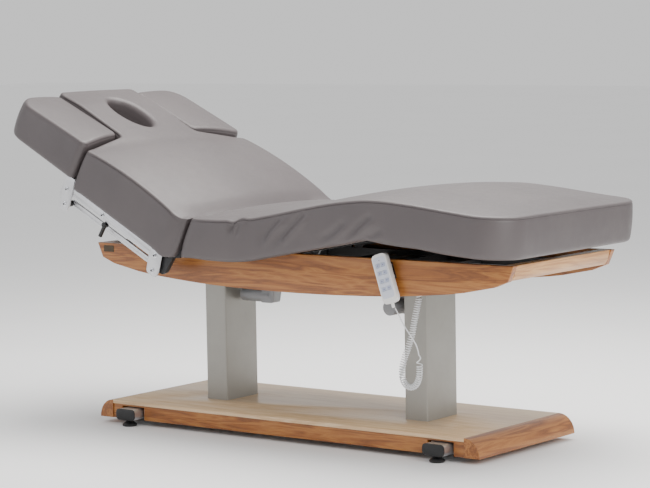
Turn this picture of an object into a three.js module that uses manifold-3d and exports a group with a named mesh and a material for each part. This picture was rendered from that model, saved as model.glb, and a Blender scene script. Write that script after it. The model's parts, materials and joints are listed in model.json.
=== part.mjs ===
// Electric facial treatment bed: a wooden plinth with two lifting columns, a wooden
// deck that carries an upholstered seat, a tilting back with a face opening and two
// lowering armrests, and a thigh and calf section with a coupled knee.
// Millimetres, +Z up, X runs from the head end (-X) to the foot end (+X).
import * as THREE from 'three';
import { mergeVertices } from 'three/addons/utils/BufferGeometryUtils.js';
import Module from 'manifold-3d';

const wasm = await Module();
wasm.setup();

// ---------------------------------------------------------------- driving sizes
const CENTRE_X = 47.03;            // moves the base's centre so that the whole bed is centred on X = 0
const GAP = 0.3;                   // clearance between pieces that touch
const DEG = Math.PI / 180;

const BASE = { length: 1500, width: 532, bottom: 18, top: 77, end: 55, panel: 12, apron: 20, lip: 3 };
const FOOT_TUBE = { x: 609, width: 78, height: 36, z: 38.5, reach: 299, cap: 4, footY: 281 };
const COLUMN = { head: -402, foot: 395, depth: 85, width: 162.5, wall: 4, top: 500 };
const INNER = { depth: 73, width: 150, wall: 3, bottom: 120, top: 522 };
const FRAME = {
  head: -727, foot: 888, halfWidth: 285, board: 22, top: 597, endDepth: 46, endWall: 39, endInset: 4,
};
const RAIL = { y: 225, width: 30, bottom: 530, top: 565, stepUp: 110 };

const BED = { halfWidth: 400, top: 700, hingeDrop: 105, slab: 90, board: 11.7, rimInner: 330, crown: 20 };
const BOARD_HALF = 292;            // half width of the plywood boards under the cushions
const GROOVE = 26;                 // height of the channel beside each board, which clears the hung handset
const BACK = {
  x: -305, z: 594, angle: 28.2, rim: 143, length: 800, shoulder: 432, headHalf: 184, setBack: 26,
};
const SEAT = { headTop: -222, headBottom: -272, footTop: -86, footBottom: -46, rim: 124 };
const THIGH = { x: -29, z: 595, angle: 10.5, length: 471, rim: 125 };
const CALF = { angle: 15.5, length: 501, rim: 125, cornerR: 115 };
const HEAD_RIM = 116;
const HOLE = { s: 626, half: 92, halfWidth: 57 };
const ARM = { start: 447, slant: 52, end: 785, inner: 190, thick: 118, cornerR: 75, crown: 12 };
const LINK = { s: 45, d: 162, dropS: -12, dropD: 48, length: 421, half: 14, plateY: 382, plate: 4 };
const LOWER_LINK_Y = 342;
const LEVER = { s: 276, d: 186, hub: 9, length: 44, gripR: 6.6 };
const AXLE_R = 11;
const EAR_R = 14.2;

// ---------------------------------------------------------------- materials
function finish(color, roughness, metalness) {
  return new THREE.MeshStandardMaterial({ color, roughness, metalness });
}
const LEATHER = [0x8b8078, 0.45, 0];
const WOOD = [0xb0752f, 0.4, 0];
const PALE_WOOD = [0xc2a27c, 0.35, 0];
const SILVER = [0xb9b9be, 0.35, 0.9];
const COLUMN_GREY = [0xa4a096, 0.45, 0.6];
const BLACK_STEEL = [0x1b1b1d, 0.5, 0.3];
const BLACK_PLASTIC = [0x121212, 0.55, 0];
const GREY_PLASTIC = [0x8d8f93, 0.5, 0];
const WHITE_PLASTIC = [0xe4e3df, 0.35, 0];
const KEY_BLUE = [0xaab1c4, 0.45, 0];
const CORD_WHITE = [0xd9d9d6, 0.4, 0];

const bed = new THREE.Group();
bed.position.x = CENTRE_X;

function add(group, name, geometry, look) {
  const piece = new THREE.Mesh(geometry, finish(...look));
  piece.name = name;
  group.add(piece);
  return piece;
}

// ---------------------------------------------------------------- shape helpers
function box(x0, x1, y0, y1, z0, z1) {
  const g = new THREE.BoxGeometry(x1 - x0, y1 - y0, z1 - z0);
  return g.translate((x0 + x1) / 2, (y0 + y1) / 2, (z0 + z1) / 2);
}

const shapeOf = (points) => new THREE.Shape(points.map((p) => new THREE.Vector2(p[0], p[1])));

// An outline in X and Z, extruded along Y from y0 to y1.
function slabXZ(points, y0, y1) {
  const g = new THREE.ExtrudeGeometry(shapeOf(points), { depth: y1 - y0, bevelEnabled: false });
  return g.rotateX(Math.PI / 2).translate(0, y1, 0);
}

// An outline in X and Y, extruded along Z from z0 to z1.
function slabXY(points, z0, z1) {
  const g = new THREE.ExtrudeGeometry(shapeOf(points), { depth: z1 - z0, bevelEnabled: false });
  return g.translate(0, 0, z0);
}

// An outline in Y and Z, extruded along X from x0 to x1.
function slabYZ(points, x0, x1) {
  const g = new THREE.ExtrudeGeometry(shapeOf(points), { depth: x1 - x0, bevelEnabled: false });
  return g.rotateX(Math.PI / 2).rotateZ(Math.PI / 2).translate(x0, 0, 0);
}

function rodY(x, z, r, y0, y1, sides = 20) {
  const g = new THREE.CylinderGeometry(r, r, y1 - y0, sides);
  return g.translate(x, (y0 + y1) / 2, z);
}

function rodZ(x, y, r, z0, z1, sides = 20, rTop = r) {
  const g = new THREE.CylinderGeometry(rTop, r, z1 - z0, sides);
  return g.rotateX(Math.PI / 2).translate(x, y, (z0 + z1) / 2);
}

// A round bar between two points of the XZ plane at one Y.
function rodBetween(a, b, y, r, sides = 16) {
  const from = new THREE.Vector3(a[0], y, a[1]);
  const to = new THREE.Vector3(b[0], y, b[1]);
  const along = to.clone().sub(from);
  const g = new THREE.CylinderGeometry(r, r, along.length(), sides);
  const turn = new THREE.Quaternion().setFromUnitVectors(new THREE.Vector3(0, 1, 0), along.normalize());
  return g.applyQuaternion(turn).translate((a[0] + b[0]) / 2, y, (a[1] + b[1]) / 2);
}

// A closed outline with its named corners rounded: each corner is [x, y, radius].
function rounded(corners, steps = 5) {
  const out = [];
  corners.forEach(([x, y, r = 0], i) => {
    const before = corners[(i + corners.length - 1) % corners.length];
    const after = corners[(i + 1) % corners.length];
    if (!r) {
      out.push([x, y]);
      return;
    }
    const p = new THREE.Vector2(x, y);
    const a = new THREE.Vector2(before[0], before[1]).sub(p).normalize();
    const b = new THREE.Vector2(after[0], after[1]).sub(p).normalize();
    const half = Math.acos(THREE.MathUtils.clamp(a.dot(b), -1, 1)) / 2;
    const reach = r / Math.tan(half);
    const start = p.clone().addScaledVector(a, reach);
    const stop = p.clone().addScaledVector(b, reach);
    const curve = new THREE.QuadraticBezierCurve(start, p, stop);
    curve.getPoints(steps).forEach((q) => out.push([q.x, q.y]));
  });
  return out;
}

// A bar outline with round ends, from a to b, of the given half width.
function stadium(a, b, half, steps = 8) {
  const heading = Math.atan2(b[1] - a[1], b[0] - a[0]);
  const out = [];
  for (let i = 0; i <= steps; i += 1) {
    const t = heading - Math.PI / 2 + (i * Math.PI) / steps;
    out.push([b[0] + half * Math.cos(t), b[1] + half * Math.sin(t)]);
  }
  for (let i = 0; i <= steps; i += 1) {
    const t = heading + Math.PI / 2 + (i * Math.PI) / steps;
    out.push([a[0] + half * Math.cos(t), a[1] + half * Math.sin(t)]);
  }
  return out;
}

const mirrorFirst = (points) => points.map((p) => [-p[0], p[1]]).reverse();
const mirrorSecond = (points) => points.map((p) => [p[0], -p[1]]).reverse();

// ---------------------------------------------------------------- joining and cutting
function solidOf(geometry) {
  const bare = geometry.clone();
  bare.deleteAttribute('normal');
  bare.deleteAttribute('uv');
  const merged = mergeVertices(bare, 1e-4);
  const vertProperties = new Float32Array(merged.attributes.position.array);
  const triVerts = new Uint32Array(merged.index.array);
  return new wasm.Manifold(new wasm.Mesh({ numProp: 3, vertProperties, triVerts }));
}

function geometryOf(solid) {
  const result = solid.getMesh();
  const g = new THREE.BufferGeometry();
  g.setAttribute('position', new THREE.BufferAttribute(new Float32Array(result.vertProperties), 3));
  g.setIndex(new THREE.BufferAttribute(new Uint32Array(result.triVerts), 1));
  g.computeVertexNormals();
  return g;
}

// Joins the first list, cuts the second from it, and keeps only what lies in the third.
function build(joined, cuts = [], within = []) {
  let solid = solidOf(joined[0]);
  joined.slice(1).forEach((g) => { solid = solid.add(solidOf(g)); });
  cuts.forEach((g) => { solid = solid.subtract(solidOf(g)); });
  within.forEach((g) => { solid = solid.intersect(solidOf(g)); });
  return geometryOf(solid);
}

const SIDES = [['near', -1], ['far', 1]];
const ENDS = [['head', -1], ['foot', 1]];
// A pair of Y limits, turned over for the far side.
const span = (side, y0, y1) => (side < 0 ? [-y1, -y0] : [y0, y1]);

// ---------------------------------------------------------------- base
function addBase() {
  const half = BASE.length / 2;
  const inner = half - BASE.end;
  const halfWidth = BASE.width / 2;
  const tubeX = FOOT_TUBE.x;
  const tubeTop = FOOT_TUBE.z + FOOT_TUBE.height / 2;
  const wellX = FOOT_TUBE.width / 2 + 8;
  const round = 14;
  const ovalOutline = (grow) => rounded([
    [tubeX - FOOT_TUBE.width / 2 - grow, FOOT_TUBE.z - FOOT_TUBE.height / 2 - grow, round],
    [tubeX + FOOT_TUBE.width / 2 + grow, FOOT_TUBE.z - FOOT_TUBE.height / 2 - grow, round],
    [tubeX + FOOT_TUBE.width / 2 + grow, FOOT_TUBE.z + FOOT_TUBE.height / 2 + grow, round],
    [tubeX - FOOT_TUBE.width / 2 - grow, FOOT_TUBE.z + FOOT_TUBE.height / 2 + grow, round],
  ], 4);
  const oval = (end, grow) => (end < 0 ? mirrorFirst(ovalOutline(grow)) : ovalOutline(grow));

  // Welded chassis: a steel plate under the panel and two oval cross tubes that reach out past the base.
  const columnsX = [COLUMN.head, COLUMN.foot];
  const chassis = [box(-inner + 20, inner - 20, -210, 210, tubeTop - 1, 64)];
  ENDS.forEach(([, end]) => chassis.push(slabXZ(oval(end, 0), -FOOT_TUBE.reach, FOOT_TUBE.reach)));
  const stemHoles = [];
  ENDS.forEach(([, end]) => SIDES.forEach(([, side]) => {
    stemHoles.push(rodZ(end * tubeX, side * FOOT_TUBE.footY, 5.6, 10, 48, 12));
  }));
  add(bed, 'base_chassis', build(chassis, stemHoles), SILVER);

  const panelBottom = BASE.top - BASE.panel;
  const columnHoles = columnsX.map((x) => box(
    x - COLUMN.depth / 2 - GAP, x + COLUMN.depth / 2 + GAP,
    -COLUMN.width / 2 - GAP, COLUMN.width / 2 + GAP, panelBottom - 5, BASE.top + 5,
  ));
  const panel = box(-inner + GAP, inner - GAP, -halfWidth, halfWidth, panelBottom, BASE.top);
  add(bed, 'base_top_panel', build([panel], columnHoles), PALE_WOOD);

  SIDES.forEach(([label, side]) => {
    const [y0, y1] = span(side, halfWidth - BASE.lip - BASE.apron, halfWidth - BASE.lip);
    const apron = box(-inner + GAP, inner - GAP, y0, y1, BASE.bottom, panelBottom - GAP);
    const wells = ENDS.map(([, end]) => box(
      end * tubeX - wellX, end * tubeX + wellX, y0 - 5, y1 + 5, BASE.bottom - 5, tubeTop + 3,
    ));
    add(bed, `base_apron_${label}`, build([apron], wells), WOOD);
  });

  ENDS.forEach(([label, end]) => {
    const height = BASE.top - BASE.bottom;
    const outline = [[0, BASE.bottom], [BASE.end, BASE.bottom]];
    const steps = 9;
    for (let i = 1; i < steps; i += 1) {
      const t = (i / steps) * (Math.PI / 2);
      outline.push([BASE.end * Math.cos(t), BASE.bottom + height * Math.sin(t)]);
    }
    outline.push([0, BASE.top]);
    const placed = outline.map(([u, z]) => [end * (inner + u), z]);
    const g = slabXZ(end < 0 ? placed.reverse() : placed, -halfWidth, halfWidth);
    add(bed, `base_end_${label}`, g, WOOD);
  });

  ENDS.forEach(([endLabel, end]) => SIDES.forEach(([label, side]) => {
    const [y0, y1] = span(side, FOOT_TUBE.reach + GAP, FOOT_TUBE.reach + FOOT_TUBE.cap);
    add(bed, `tube_cap_${endLabel}_${label}`, slabXZ(oval(end, 0.6), y0, y1), BLACK_PLASTIC);
    const profile = [[0, 0], [22, 0], [24, 2], [24, 6], [21, 9], [9, 17], [5, 19], [5, 44], [0, 44]];
    const foot = new THREE.LatheGeometry(profile.map((p) => new THREE.Vector2(p[0], p[1])), 20);
    foot.rotateX(Math.PI / 2).translate(end * tubeX, side * FOOT_TUBE.footY, 0);
    add(bed, `leveling_foot_${endLabel}_${label}`, foot, BLACK_PLASTIC);
  }));
}

// ---------------------------------------------------------------- lifting columns
function columnTube(x, depth, width, wall, bottom, top, round) {
  const outline = (inset, r) => rounded([
    [x - depth / 2 + inset, -width / 2 + inset, r],
    [x + depth / 2 - inset, -width / 2 + inset, r],
    [x + depth / 2 - inset, width / 2 - inset, r],
    [x - depth / 2 + inset, width / 2 - inset, r],
  ], 3);
  return build([slabXY(outline(0, round), bottom, top)], [slabXY(outline(wall, 1.5), bottom - 5, top + 5)]);
}

function addColumns() {
  ENDS.forEach(([label]) => {
    const x = COLUMN[label];
    const outer = columnTube(x, COLUMN.depth, COLUMN.width, COLUMN.wall, 64.3, COLUMN.top, 6);
    add(bed, `column_outer_${label}`, outer, COLUMN_GREY);
    const inner = columnTube(x, INNER.depth, INNER.width, INNER.wall, INNER.bottom, INNER.top, 4);
    add(bed, `column_inner_${label}`, inner, SILVER);
  });
}

// ---------------------------------------------------------------- wooden deck and its steel frame
// Depth of the boat-shaped side board below its straight top edge, from its tip to its middle.
const HULL = new THREE.SplineCurve([
  [0, 0], [9, 32], [22, 48], [52, 62], [139, 80], [225, 94], [435, 112], [640, 120], [807.5, 122],
].map((p) => new THREE.Vector2(p[0], p[1])));

// Each linear motor: the pin it tilts on, the pin it pushes, and the share of that distance its tube covers.
const BACK_MOTOR = { pivot: [-215, 470], rod: [-361.4, 573.5], tube: 0.5 };
const BACK_MOTOR_CAN = { z: 420, r: 22, from: -345, to: -229 };
const LEG_MOTOR = { pivot: [275, 463], rod: [-64, 534.4], tube: 0.62 };
const LEG_MOTOR_CAN = { x: 300, z: 420, r: 24, from: -84, to: -18 };
const MOTOR = { tubeR: 15, rodR: 8, headR: 17, boreR: 6.5 };
const CLEVIS_Y = 27;
// A rod's fork: its roomy eye is the open pivot of the lifting linkage.
const FORK = { eye: 19, bore: 14.5, inner: 5, outer: 9, throat: 50 };
// The lug each rod pushes: the half width and half thickness of its bar, and its pin.
const LUG = { halfWidth: 10, halfThick: 4, pinR: 6, pinY: 11 };

function addDeck() {
  const low = HULL.getSpacedPoints(16);
  const hull = [];
  low.forEach((p) => hull.push([FRAME.head + p.x, FRAME.top - p.y]));
  low.slice(0, -1).reverse().forEach((p) => hull.push([FRAME.foot - p.x, FRAME.top - p.y]));
  SIDES.forEach(([label, side]) => {
    const [y0, y1] = span(side, FRAME.halfWidth - FRAME.board, FRAME.halfWidth);
    const notch = box(BACK.x - 14, BACK.x + 14, y0 - 5, y1 + 5, BACK.z - AXLE_R - 3, FRAME.top + 5);
    add(bed, `side_board_${label}`, build([slabXZ(hull, y0, y1)], [notch]), WOOD);
  });
  const innerY = FRAME.halfWidth - FRAME.board - GAP;
  ENDS.forEach(([label, end]) => {
    const tip = end < 0 ? FRAME.head : FRAME.foot;
    const outline = [
      [0, 0], [9, 32], [18, FRAME.endDepth], [FRAME.endWall, FRAME.endDepth], [FRAME.endWall, 0],
    ].map(([u, d]) => [tip - end * (u + FRAME.endInset), FRAME.top - d]);
    const g = slabXZ(end < 0 ? outline : outline.reverse(), -innerY, innerY);
    add(bed, `end_board_${label}`, g, end < 0 ? WOOD : PALE_WOOD);
  });

  // Steel frame: two rails, cross members, column plates, hinge ears, motor clevises and the seat plate.
  const headX = FRAME.head + FRAME.endInset + FRAME.endWall + 4;
  const footX = FRAME.foot - FRAME.endInset - FRAME.endWall - 4;
  const endLow = FRAME.top - FRAME.endDepth + 2;
  const steel = [];
  SIDES.forEach(([, side]) => {
    const [y0, y1] = span(side, RAIL.y, RAIL.y + RAIL.width);
    steel.push(box(headX, footX, y0, y1, endLow, RAIL.top));
    steel.push(box(headX + RAIL.stepUp, footX - RAIL.stepUp, y0, y1, RAIL.bottom, RAIL.top));
  });
  const cross = (x0, x1, z0, z1, halfY) => steel.push(box(x0, x1, -halfY, halfY, z0, z1));
  cross(headX, headX + 36, endLow, RAIL.top, innerY);
  cross(footX - 36, footX, endLow, RAIL.top, innerY);
  cross(COLUMN.head - 46, COLUMN.head + 34, INNER.top + GAP, 552, innerY);
  cross(COLUMN.foot - 42, COLUMN.foot + 42, INNER.top + GAP, 552, innerY);
  cross(-200, -170, RAIL.bottom, RAIL.top, innerY);
  cross(292, 318, RAIL.bottom, RAIL.top, innerY);
  const seatX = [SEAT.headBottom + 12, SEAT.footBottom - 22];
  cross(seatX[0], seatX[1], FRAME.top + 1, BED.top - BED.slab - GAP, BOARD_HALF);
  SIDES.forEach(([, side]) => {
    const [y0, y1] = span(side, RAIL.y + 1, RAIL.y + 7);
    const earFoot = RAIL.top - 16;
    steel.push(slabXZ(stadium([BACK.x + 24, earFoot], [BACK.x, BACK.z], EAR_R), y0, y1));
    steel.push(slabXZ(stadium([THIGH.x - 24, earFoot], [THIGH.x, THIGH.z], EAR_R), y0, y1));
    seatX.forEach((x, i) => {
      const inward = i === 0 ? 1 : -1;
      const post = [x + inward * 4, x + inward * 34].sort((a, b) => a - b);
      steel.push(box(post[0], post[1], y0, y1, RAIL.top - 5, FRAME.top + 2));
    });
    const [c0, c1] = span(side, CLEVIS_Y, CLEVIS_Y + 6);
    const [bx, bz] = BACK_MOTOR.pivot;
    steel.push(slabXZ(rounded([
      [bx - 16, bz - 16, 12], [bx + 16, bz - 16, 12], [bx + 44, RAIL.bottom + 5], [bx + 16, RAIL.bottom + 5],
    ], 3), c0, c1));
    const [lx, lz] = LEG_MOTOR.pivot;
    steel.push(slabXZ(rounded([
      [lx - 16, lz - 16, 12], [lx + 16, lz - 16, 12], [lx + 43, RAIL.bottom + 5], [lx + 17, RAIL.bottom + 5],
    ], 3), c0, c1));
  });
  [BACK_MOTOR, LEG_MOTOR].forEach(({ pivot }) => {
    steel.push(rodY(pivot[0], pivot[1], 6, -CLEVIS_Y - 9, CLEVIS_Y + 9, 16));
  });
  const holes = [
    rodY(BACK.x, BACK.z, AXLE_R + 0.5, -RAIL.y - 20, RAIL.y + 20, 24),
    rodY(THIGH.x, THIGH.z, AXLE_R + 0.5, -RAIL.y - 20, RAIL.y + 20, 24),
    box(COLUMN.head + 4, COLUMN.head + 40, -FORK.outer - 5, FORK.outer + 5, INNER.top - 5, RAIL.top),
  ];
  add(bed, 'deck_frame', build(steel, holes), BLACK_STEEL);
  add(bed, 'control_box', box(60, 215, 60, 205, RAIL.bottom - 26, RAIL.bottom + 24), BLACK_PLASTIC);
}

// ---------------------------------------------------------------- upholstered sections
// Cross-section of a cushion in Y and Z: a crowned slab with deeper rims that hang outside the deck.
// Between the slab and each rim the underside can step up into a channel of the given height.
function cushionSection(rimInner, rimDrop, topZ, channel) {
  const w = BED.halfWidth;
  const slabZ = topZ - BED.slab;
  const rimZ = topZ - rimDrop;
  const edge = 10;
  const slabHalf = channel ? BOARD_HALF + 2 : rimInner;
  const right = [
    [w, topZ - edge], [w, rimZ + edge], [w - edge, rimZ], [rimInner, rimZ], [rimInner, slabZ + channel],
  ];
  if (channel) right.push([slabHalf, slabZ + channel], [slabHalf, slabZ]);
  const top = [];
  const steps = 6;
  for (let i = 0; i <= steps; i += 1) {
    const y = (w - edge) * ((2 * i) / steps - 1);
    top.push([y, topZ + BED.crown * (1 - (y / w) ** 2)]);
  }
  const left = right.map(([y, z]) => [-y, z]).reverse();
  return [...left, ...top, ...right];
}

function addSeat() {
  const section = cushionSection(BED.rimInner, SEAT.rim, BED.top, GROOVE);
  const low = BED.top - SEAT.rim - 5;
  const high = BED.top + 40;
  const side = [
    [SEAT.headBottom, low], [SEAT.footBottom, low], [SEAT.footBottom, BED.top - BED.hingeDrop - 12],
    [SEAT.footTop, high], [SEAT.headTop, high], [SEAT.headBottom, BED.top - BED.slab - 20],
  ];
  const g = build([slabYZ(section, SEAT.headBottom, SEAT.footBottom)], [], [slabXZ(side, -500, 500)]);
  add(bed, 'seat_cushion', g, LEATHER);
}

// ---------------------------------------------------------------- back section
const backGroup = new THREE.Group();
backGroup.position.set(BACK.x, 0, BACK.z);
backGroup.rotation.y = BACK.angle * DEG;
bed.add(backGroup);
// Places a point given by its distance s up the back and its depth d under the back's top.
const back = (s, d) => [-(s + BACK.setBack), BED.hingeDrop - d];
const backX = (s) => back(s, 0)[0];
const backZ = (d) => back(0, d)[1];

function headOutline(grow) {
  const shoulderIn = BACK.shoulder + ARM.slant;
  const h = BACK.headHalf + grow;
  const w = BED.halfWidth + grow;
  const e = BACK.length + grow;
  return rounded([
    [backX(-30), -w], [backX(-30), w],
    [backX(BACK.shoulder + grow), w, 12], [backX(shoulderIn + grow), h, 16],
    [backX(e), h, 22], [backX(e), -h, 22],
    [backX(shoulderIn + grow), -h, 16], [backX(BACK.shoulder + grow), -w, 12],
  ], 3);
}

function ovalHole(grow, z0, z1) {
  const g = rodZ(0, 0, 1, z0, z1, 24);
  return g.scale(HOLE.half + grow, HOLE.halfWidth + grow, 1).translate(backX(HOLE.s), 0, 0);
}

function addBack() {
  const topZ = BED.hingeDrop;
  const section = cushionSection(BED.rimInner, BACK.rim, topZ, GROOVE);
  const body = slabYZ(section, backX(BACK.length), backX(0));
  const headSection = cushionSection(BACK.headHalf - 18, HEAD_RIM, topZ, 0);
  const headPart = slabYZ(headSection, backX(BACK.length), backX(BACK.shoulder));
  const headRegion = box(backX(BACK.length + 5), backX(BACK.shoulder + 8), -500, 500, -100, topZ - BED.slab);
  const endSkirt = box(
    backX(BACK.length), backX(BACK.length - 18), -BACK.headHalf, BACK.headHalf, backZ(HEAD_RIM), topZ,
  );
  const wedge = [back(78, -40), back(900, -40), back(900, 160), back(2, 160), back(2, BED.slab)];
  const outline = slabXY(headOutline(0), -200, 200);
  let solid = solidOf(body).subtract(solidOf(headRegion));
  solid = solid.add(solidOf(headPart)).add(solidOf(endSkirt));
  solid = solid.intersect(solidOf(outline)).intersect(solidOf(slabXZ(wedge, -500, 500)));
  solid = solid.subtract(solidOf(ovalHole(0, -200, 200)));
  add(backGroup, 'back_cushion', geometryOf(solid), LEATHER);

  // Steel frame and plywood board of the back, its axle, motor lug and the drop plates for the armrests.
  const boardZ = [topZ - BED.slab - GAP - BED.board, topZ - BED.slab - GAP];
  const edge = BOARD_HALF;
  const headEdge = BACK.headHalf - 22;
  const boardOutline = [
    [backX(6), -edge], [backX(6), edge],
    [backX(BACK.shoulder - 12), edge], [backX(BACK.shoulder - 6), headEdge],
    [backX(BACK.length - 24), headEdge], [backX(BACK.length - 24), -headEdge],
    [backX(BACK.shoulder - 6), -headEdge], [backX(BACK.shoulder - 12), -edge],
  ];
  const steel = [slabXY(boardOutline.reverse(), ...boardZ)];
  const plateIn = LINK.plateY - 26;
  const plateOut = LINK.plateY - 10.3;
  steel.push(rodY(0, 0, AXLE_R, -plateOut, plateOut, 24));
  SIDES.forEach(([, side]) => {
    const [r0, r1] = span(side, 190, 215);
    steel.push(box(backX(344), -4, r0, r1, -22, boardZ[0] + 1));
    const [p0, p1] = span(side, plateIn, plateOut);
    steel.push(slabXZ([
      back(-40, 94), back(-40, 121), back(-16, 136), back(-10, 192), back(0, 206), back(54, 212),
      back(58, 147.5), back(1, 147.5), back(1, 94),
    ].reverse(), p0, p1));
    const [q0, q1] = span(side, LOWER_LINK_Y - 8, plateIn + 2);
    const [px, pz] = back(LINK.s + LINK.dropS, LINK.d + LINK.dropD);
    steel.push(rodY(px, pz, 5, q0, q1, 16));
  });
  const tilt = BACK.angle * DEG;
  const dx = BACK_MOTOR.rod[0] - BACK.x;
  const dz = BACK_MOTOR.rod[1] - BACK.z;
  const lug = [dx * Math.cos(tilt) - dz * Math.sin(tilt), dx * Math.sin(tilt) + dz * Math.cos(tilt)];
  steel.push(slabXZ(stadium(lug, [0, 0], LUG.halfWidth, 6), -LUG.halfThick, LUG.halfThick));
  steel.push(rodY(lug[0], lug[1], LUG.pinR, -LUG.pinY, LUG.pinY, 16));
  add(backGroup, 'back_frame', build(steel, [ovalHole(8, -50, 50)]), BLACK_STEEL);
}

// ---------------------------------------------------------------- armrests
function addArmrests() {
  SIDES.forEach(([label, side]) => {
    const a1 = back(LINK.s, LINK.d);
    const a2 = back(LINK.s + LINK.dropS, LINK.d + LINK.dropD);
    const b1 = back(LINK.s + LINK.length, LINK.d);
    const b2 = back(LINK.s + LINK.length + LINK.dropS, LINK.d + LINK.dropD);
    const [plate0, plate1] = span(side, LINK.plateY - LINK.plate, LINK.plateY);
    const [upper0, upper1] = span(side, LINK.plateY - 9.7, LINK.plateY - 4.4);
    const [lower0, lower1] = span(side, LOWER_LINK_Y - 6, LOWER_LINK_Y);
    const pin = (p, r, y0, y1) => rodY(p[0], p[1], r, ...span(side, y0, y1), 16);
    const hole = (p, r) => rodY(p[0], p[1], r, side < 0 ? -400 : 300, side < 0 ? -300 : 400, 16);

    // Lower end plate, bolted to the back's drop plate.
    const bracket = rounded([
      back(LINK.s + 25, 147.5), back(LINK.s + 26, 166), back(LINK.s + 10, 226), back(12, 228), back(8, 200),
      back(LINK.s - 25, 147.5),
    ].map(([x, z], i) => [x, z, [3, 12, 14, 14, 20, 3][i]]), 4);
    add(backGroup, `arm_bracket_${label}`, build([
      slabXZ(bracket, plate0, plate1),
      pin(a1, 5, LINK.plateY - 10, LINK.plateY - 3),
    ]), SILVER);

    // Parallel links.
    add(backGroup, `arm_link_upper_${label}`, build(
      [slabXZ(stadium(a1, b1, LINK.half), upper0, upper1)],
      [hole(a1, 5.4), hole(b1, 5.4)],
    ), SILVER);
    add(backGroup, `arm_link_lower_${label}`, build(
      [slabXZ(stadium(a2, b2, 9), lower0, lower1)],
      [hole(a2, 5.4), hole(b2, 5.8)],
    ), SILVER);

    // Upper end plate with the flange that carries the armrest cushion.
    const end = LINK.s + LINK.length;
    const top = ARM.thick + GAP;
    const plateShape = rounded([
      back(end - 17, top), back(end + 24, top), back(end + 24, 176), back(end + 4, 231), back(end - 30, 231),
      back(end - 32, 200), back(end - 24, 160),
    ].map(([x, z], i) => [x, z, [2, 3, 16, 16, 14, 20, 20][i]]), 4);
    const [f0, f1] = span(side, 255, LINK.plateY);
    add(backGroup, `arm_plate_${label}`, build([
      slabXZ(plateShape, plate0, plate1),
      box(backX(end + 190), backX(end - 17), f0, f1, backZ(top + 4), backZ(top)),
      pin(b1, 5, LINK.plateY - 10, LINK.plateY - 3),
      pin(b2, 9, LOWER_LINK_Y + 1, LINK.plateY - 3),
      pin(b2, 5, LOWER_LINK_Y - 8, LOWER_LINK_Y + 2),
    ]), SILVER);

    // Release lever under the upper link.
    const hub = back(LEVER.s, LEVER.d);
    const tipPoint = back(LEVER.s + 3, LEVER.d + LEVER.length);
    const midY = side * (LINK.plateY - 7);
    const lever = build([
      rodY(hub[0], hub[1], LEVER.hub, midY - 8, midY + 8, 16),
      rodBetween(hub, tipPoint, midY, LEVER.gripR, 12),
    ]);
    add(backGroup, `arm_lock_lever_${label}`, lever, BLACK_PLASTIC);

    // Armrest cushion.
    const y0 = ARM.inner;
    const y1 = BED.halfWidth;
    const corners = [
      [backX(ARM.start), y1, 22], [backX(ARM.start + ARM.slant), y0, 16], [backX(ARM.end), y0, 20],
      [backX(ARM.end), y1, ARM.cornerR],
    ];
    const plan = rounded(corners, 5);
    const middle = (y0 + y1) / 2;
    const topLine = [-1, -0.9, -0.5, 0, 0.5, 0.9, 1].map((t) => [
      middle + (t * (y1 - y0)) / 2, BED.hingeDrop + ARM.crown * (1 - t * t),
    ]);
    const section = [[y0, backZ(ARM.thick)], ...topLine, [y1, backZ(ARM.thick)]];
    const cushion = build(
      [slabYZ(side < 0 ? mirrorFirst(section) : section, backX(ARM.end), backX(ARM.start))],
      [],
      [slabXY(side < 0 ? mirrorSecond(plan) : plan, -200, 200)],
    );
    add(backGroup, `arm_cushion_${label}`, cushion, LEATHER);
  });
}

// ---------------------------------------------------------------- thigh and calf sections
const thighGroup = new THREE.Group();
thighGroup.position.set(THIGH.x, 0, THIGH.z);
thighGroup.rotation.y = -THIGH.angle * DEG;
bed.add(thighGroup);
const calfGroup = new THREE.Group();
calfGroup.position.set(THIGH.length, 0, 0);
calfGroup.rotation.y = CALF.angle * DEG;
thighGroup.add(calfGroup);

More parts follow.
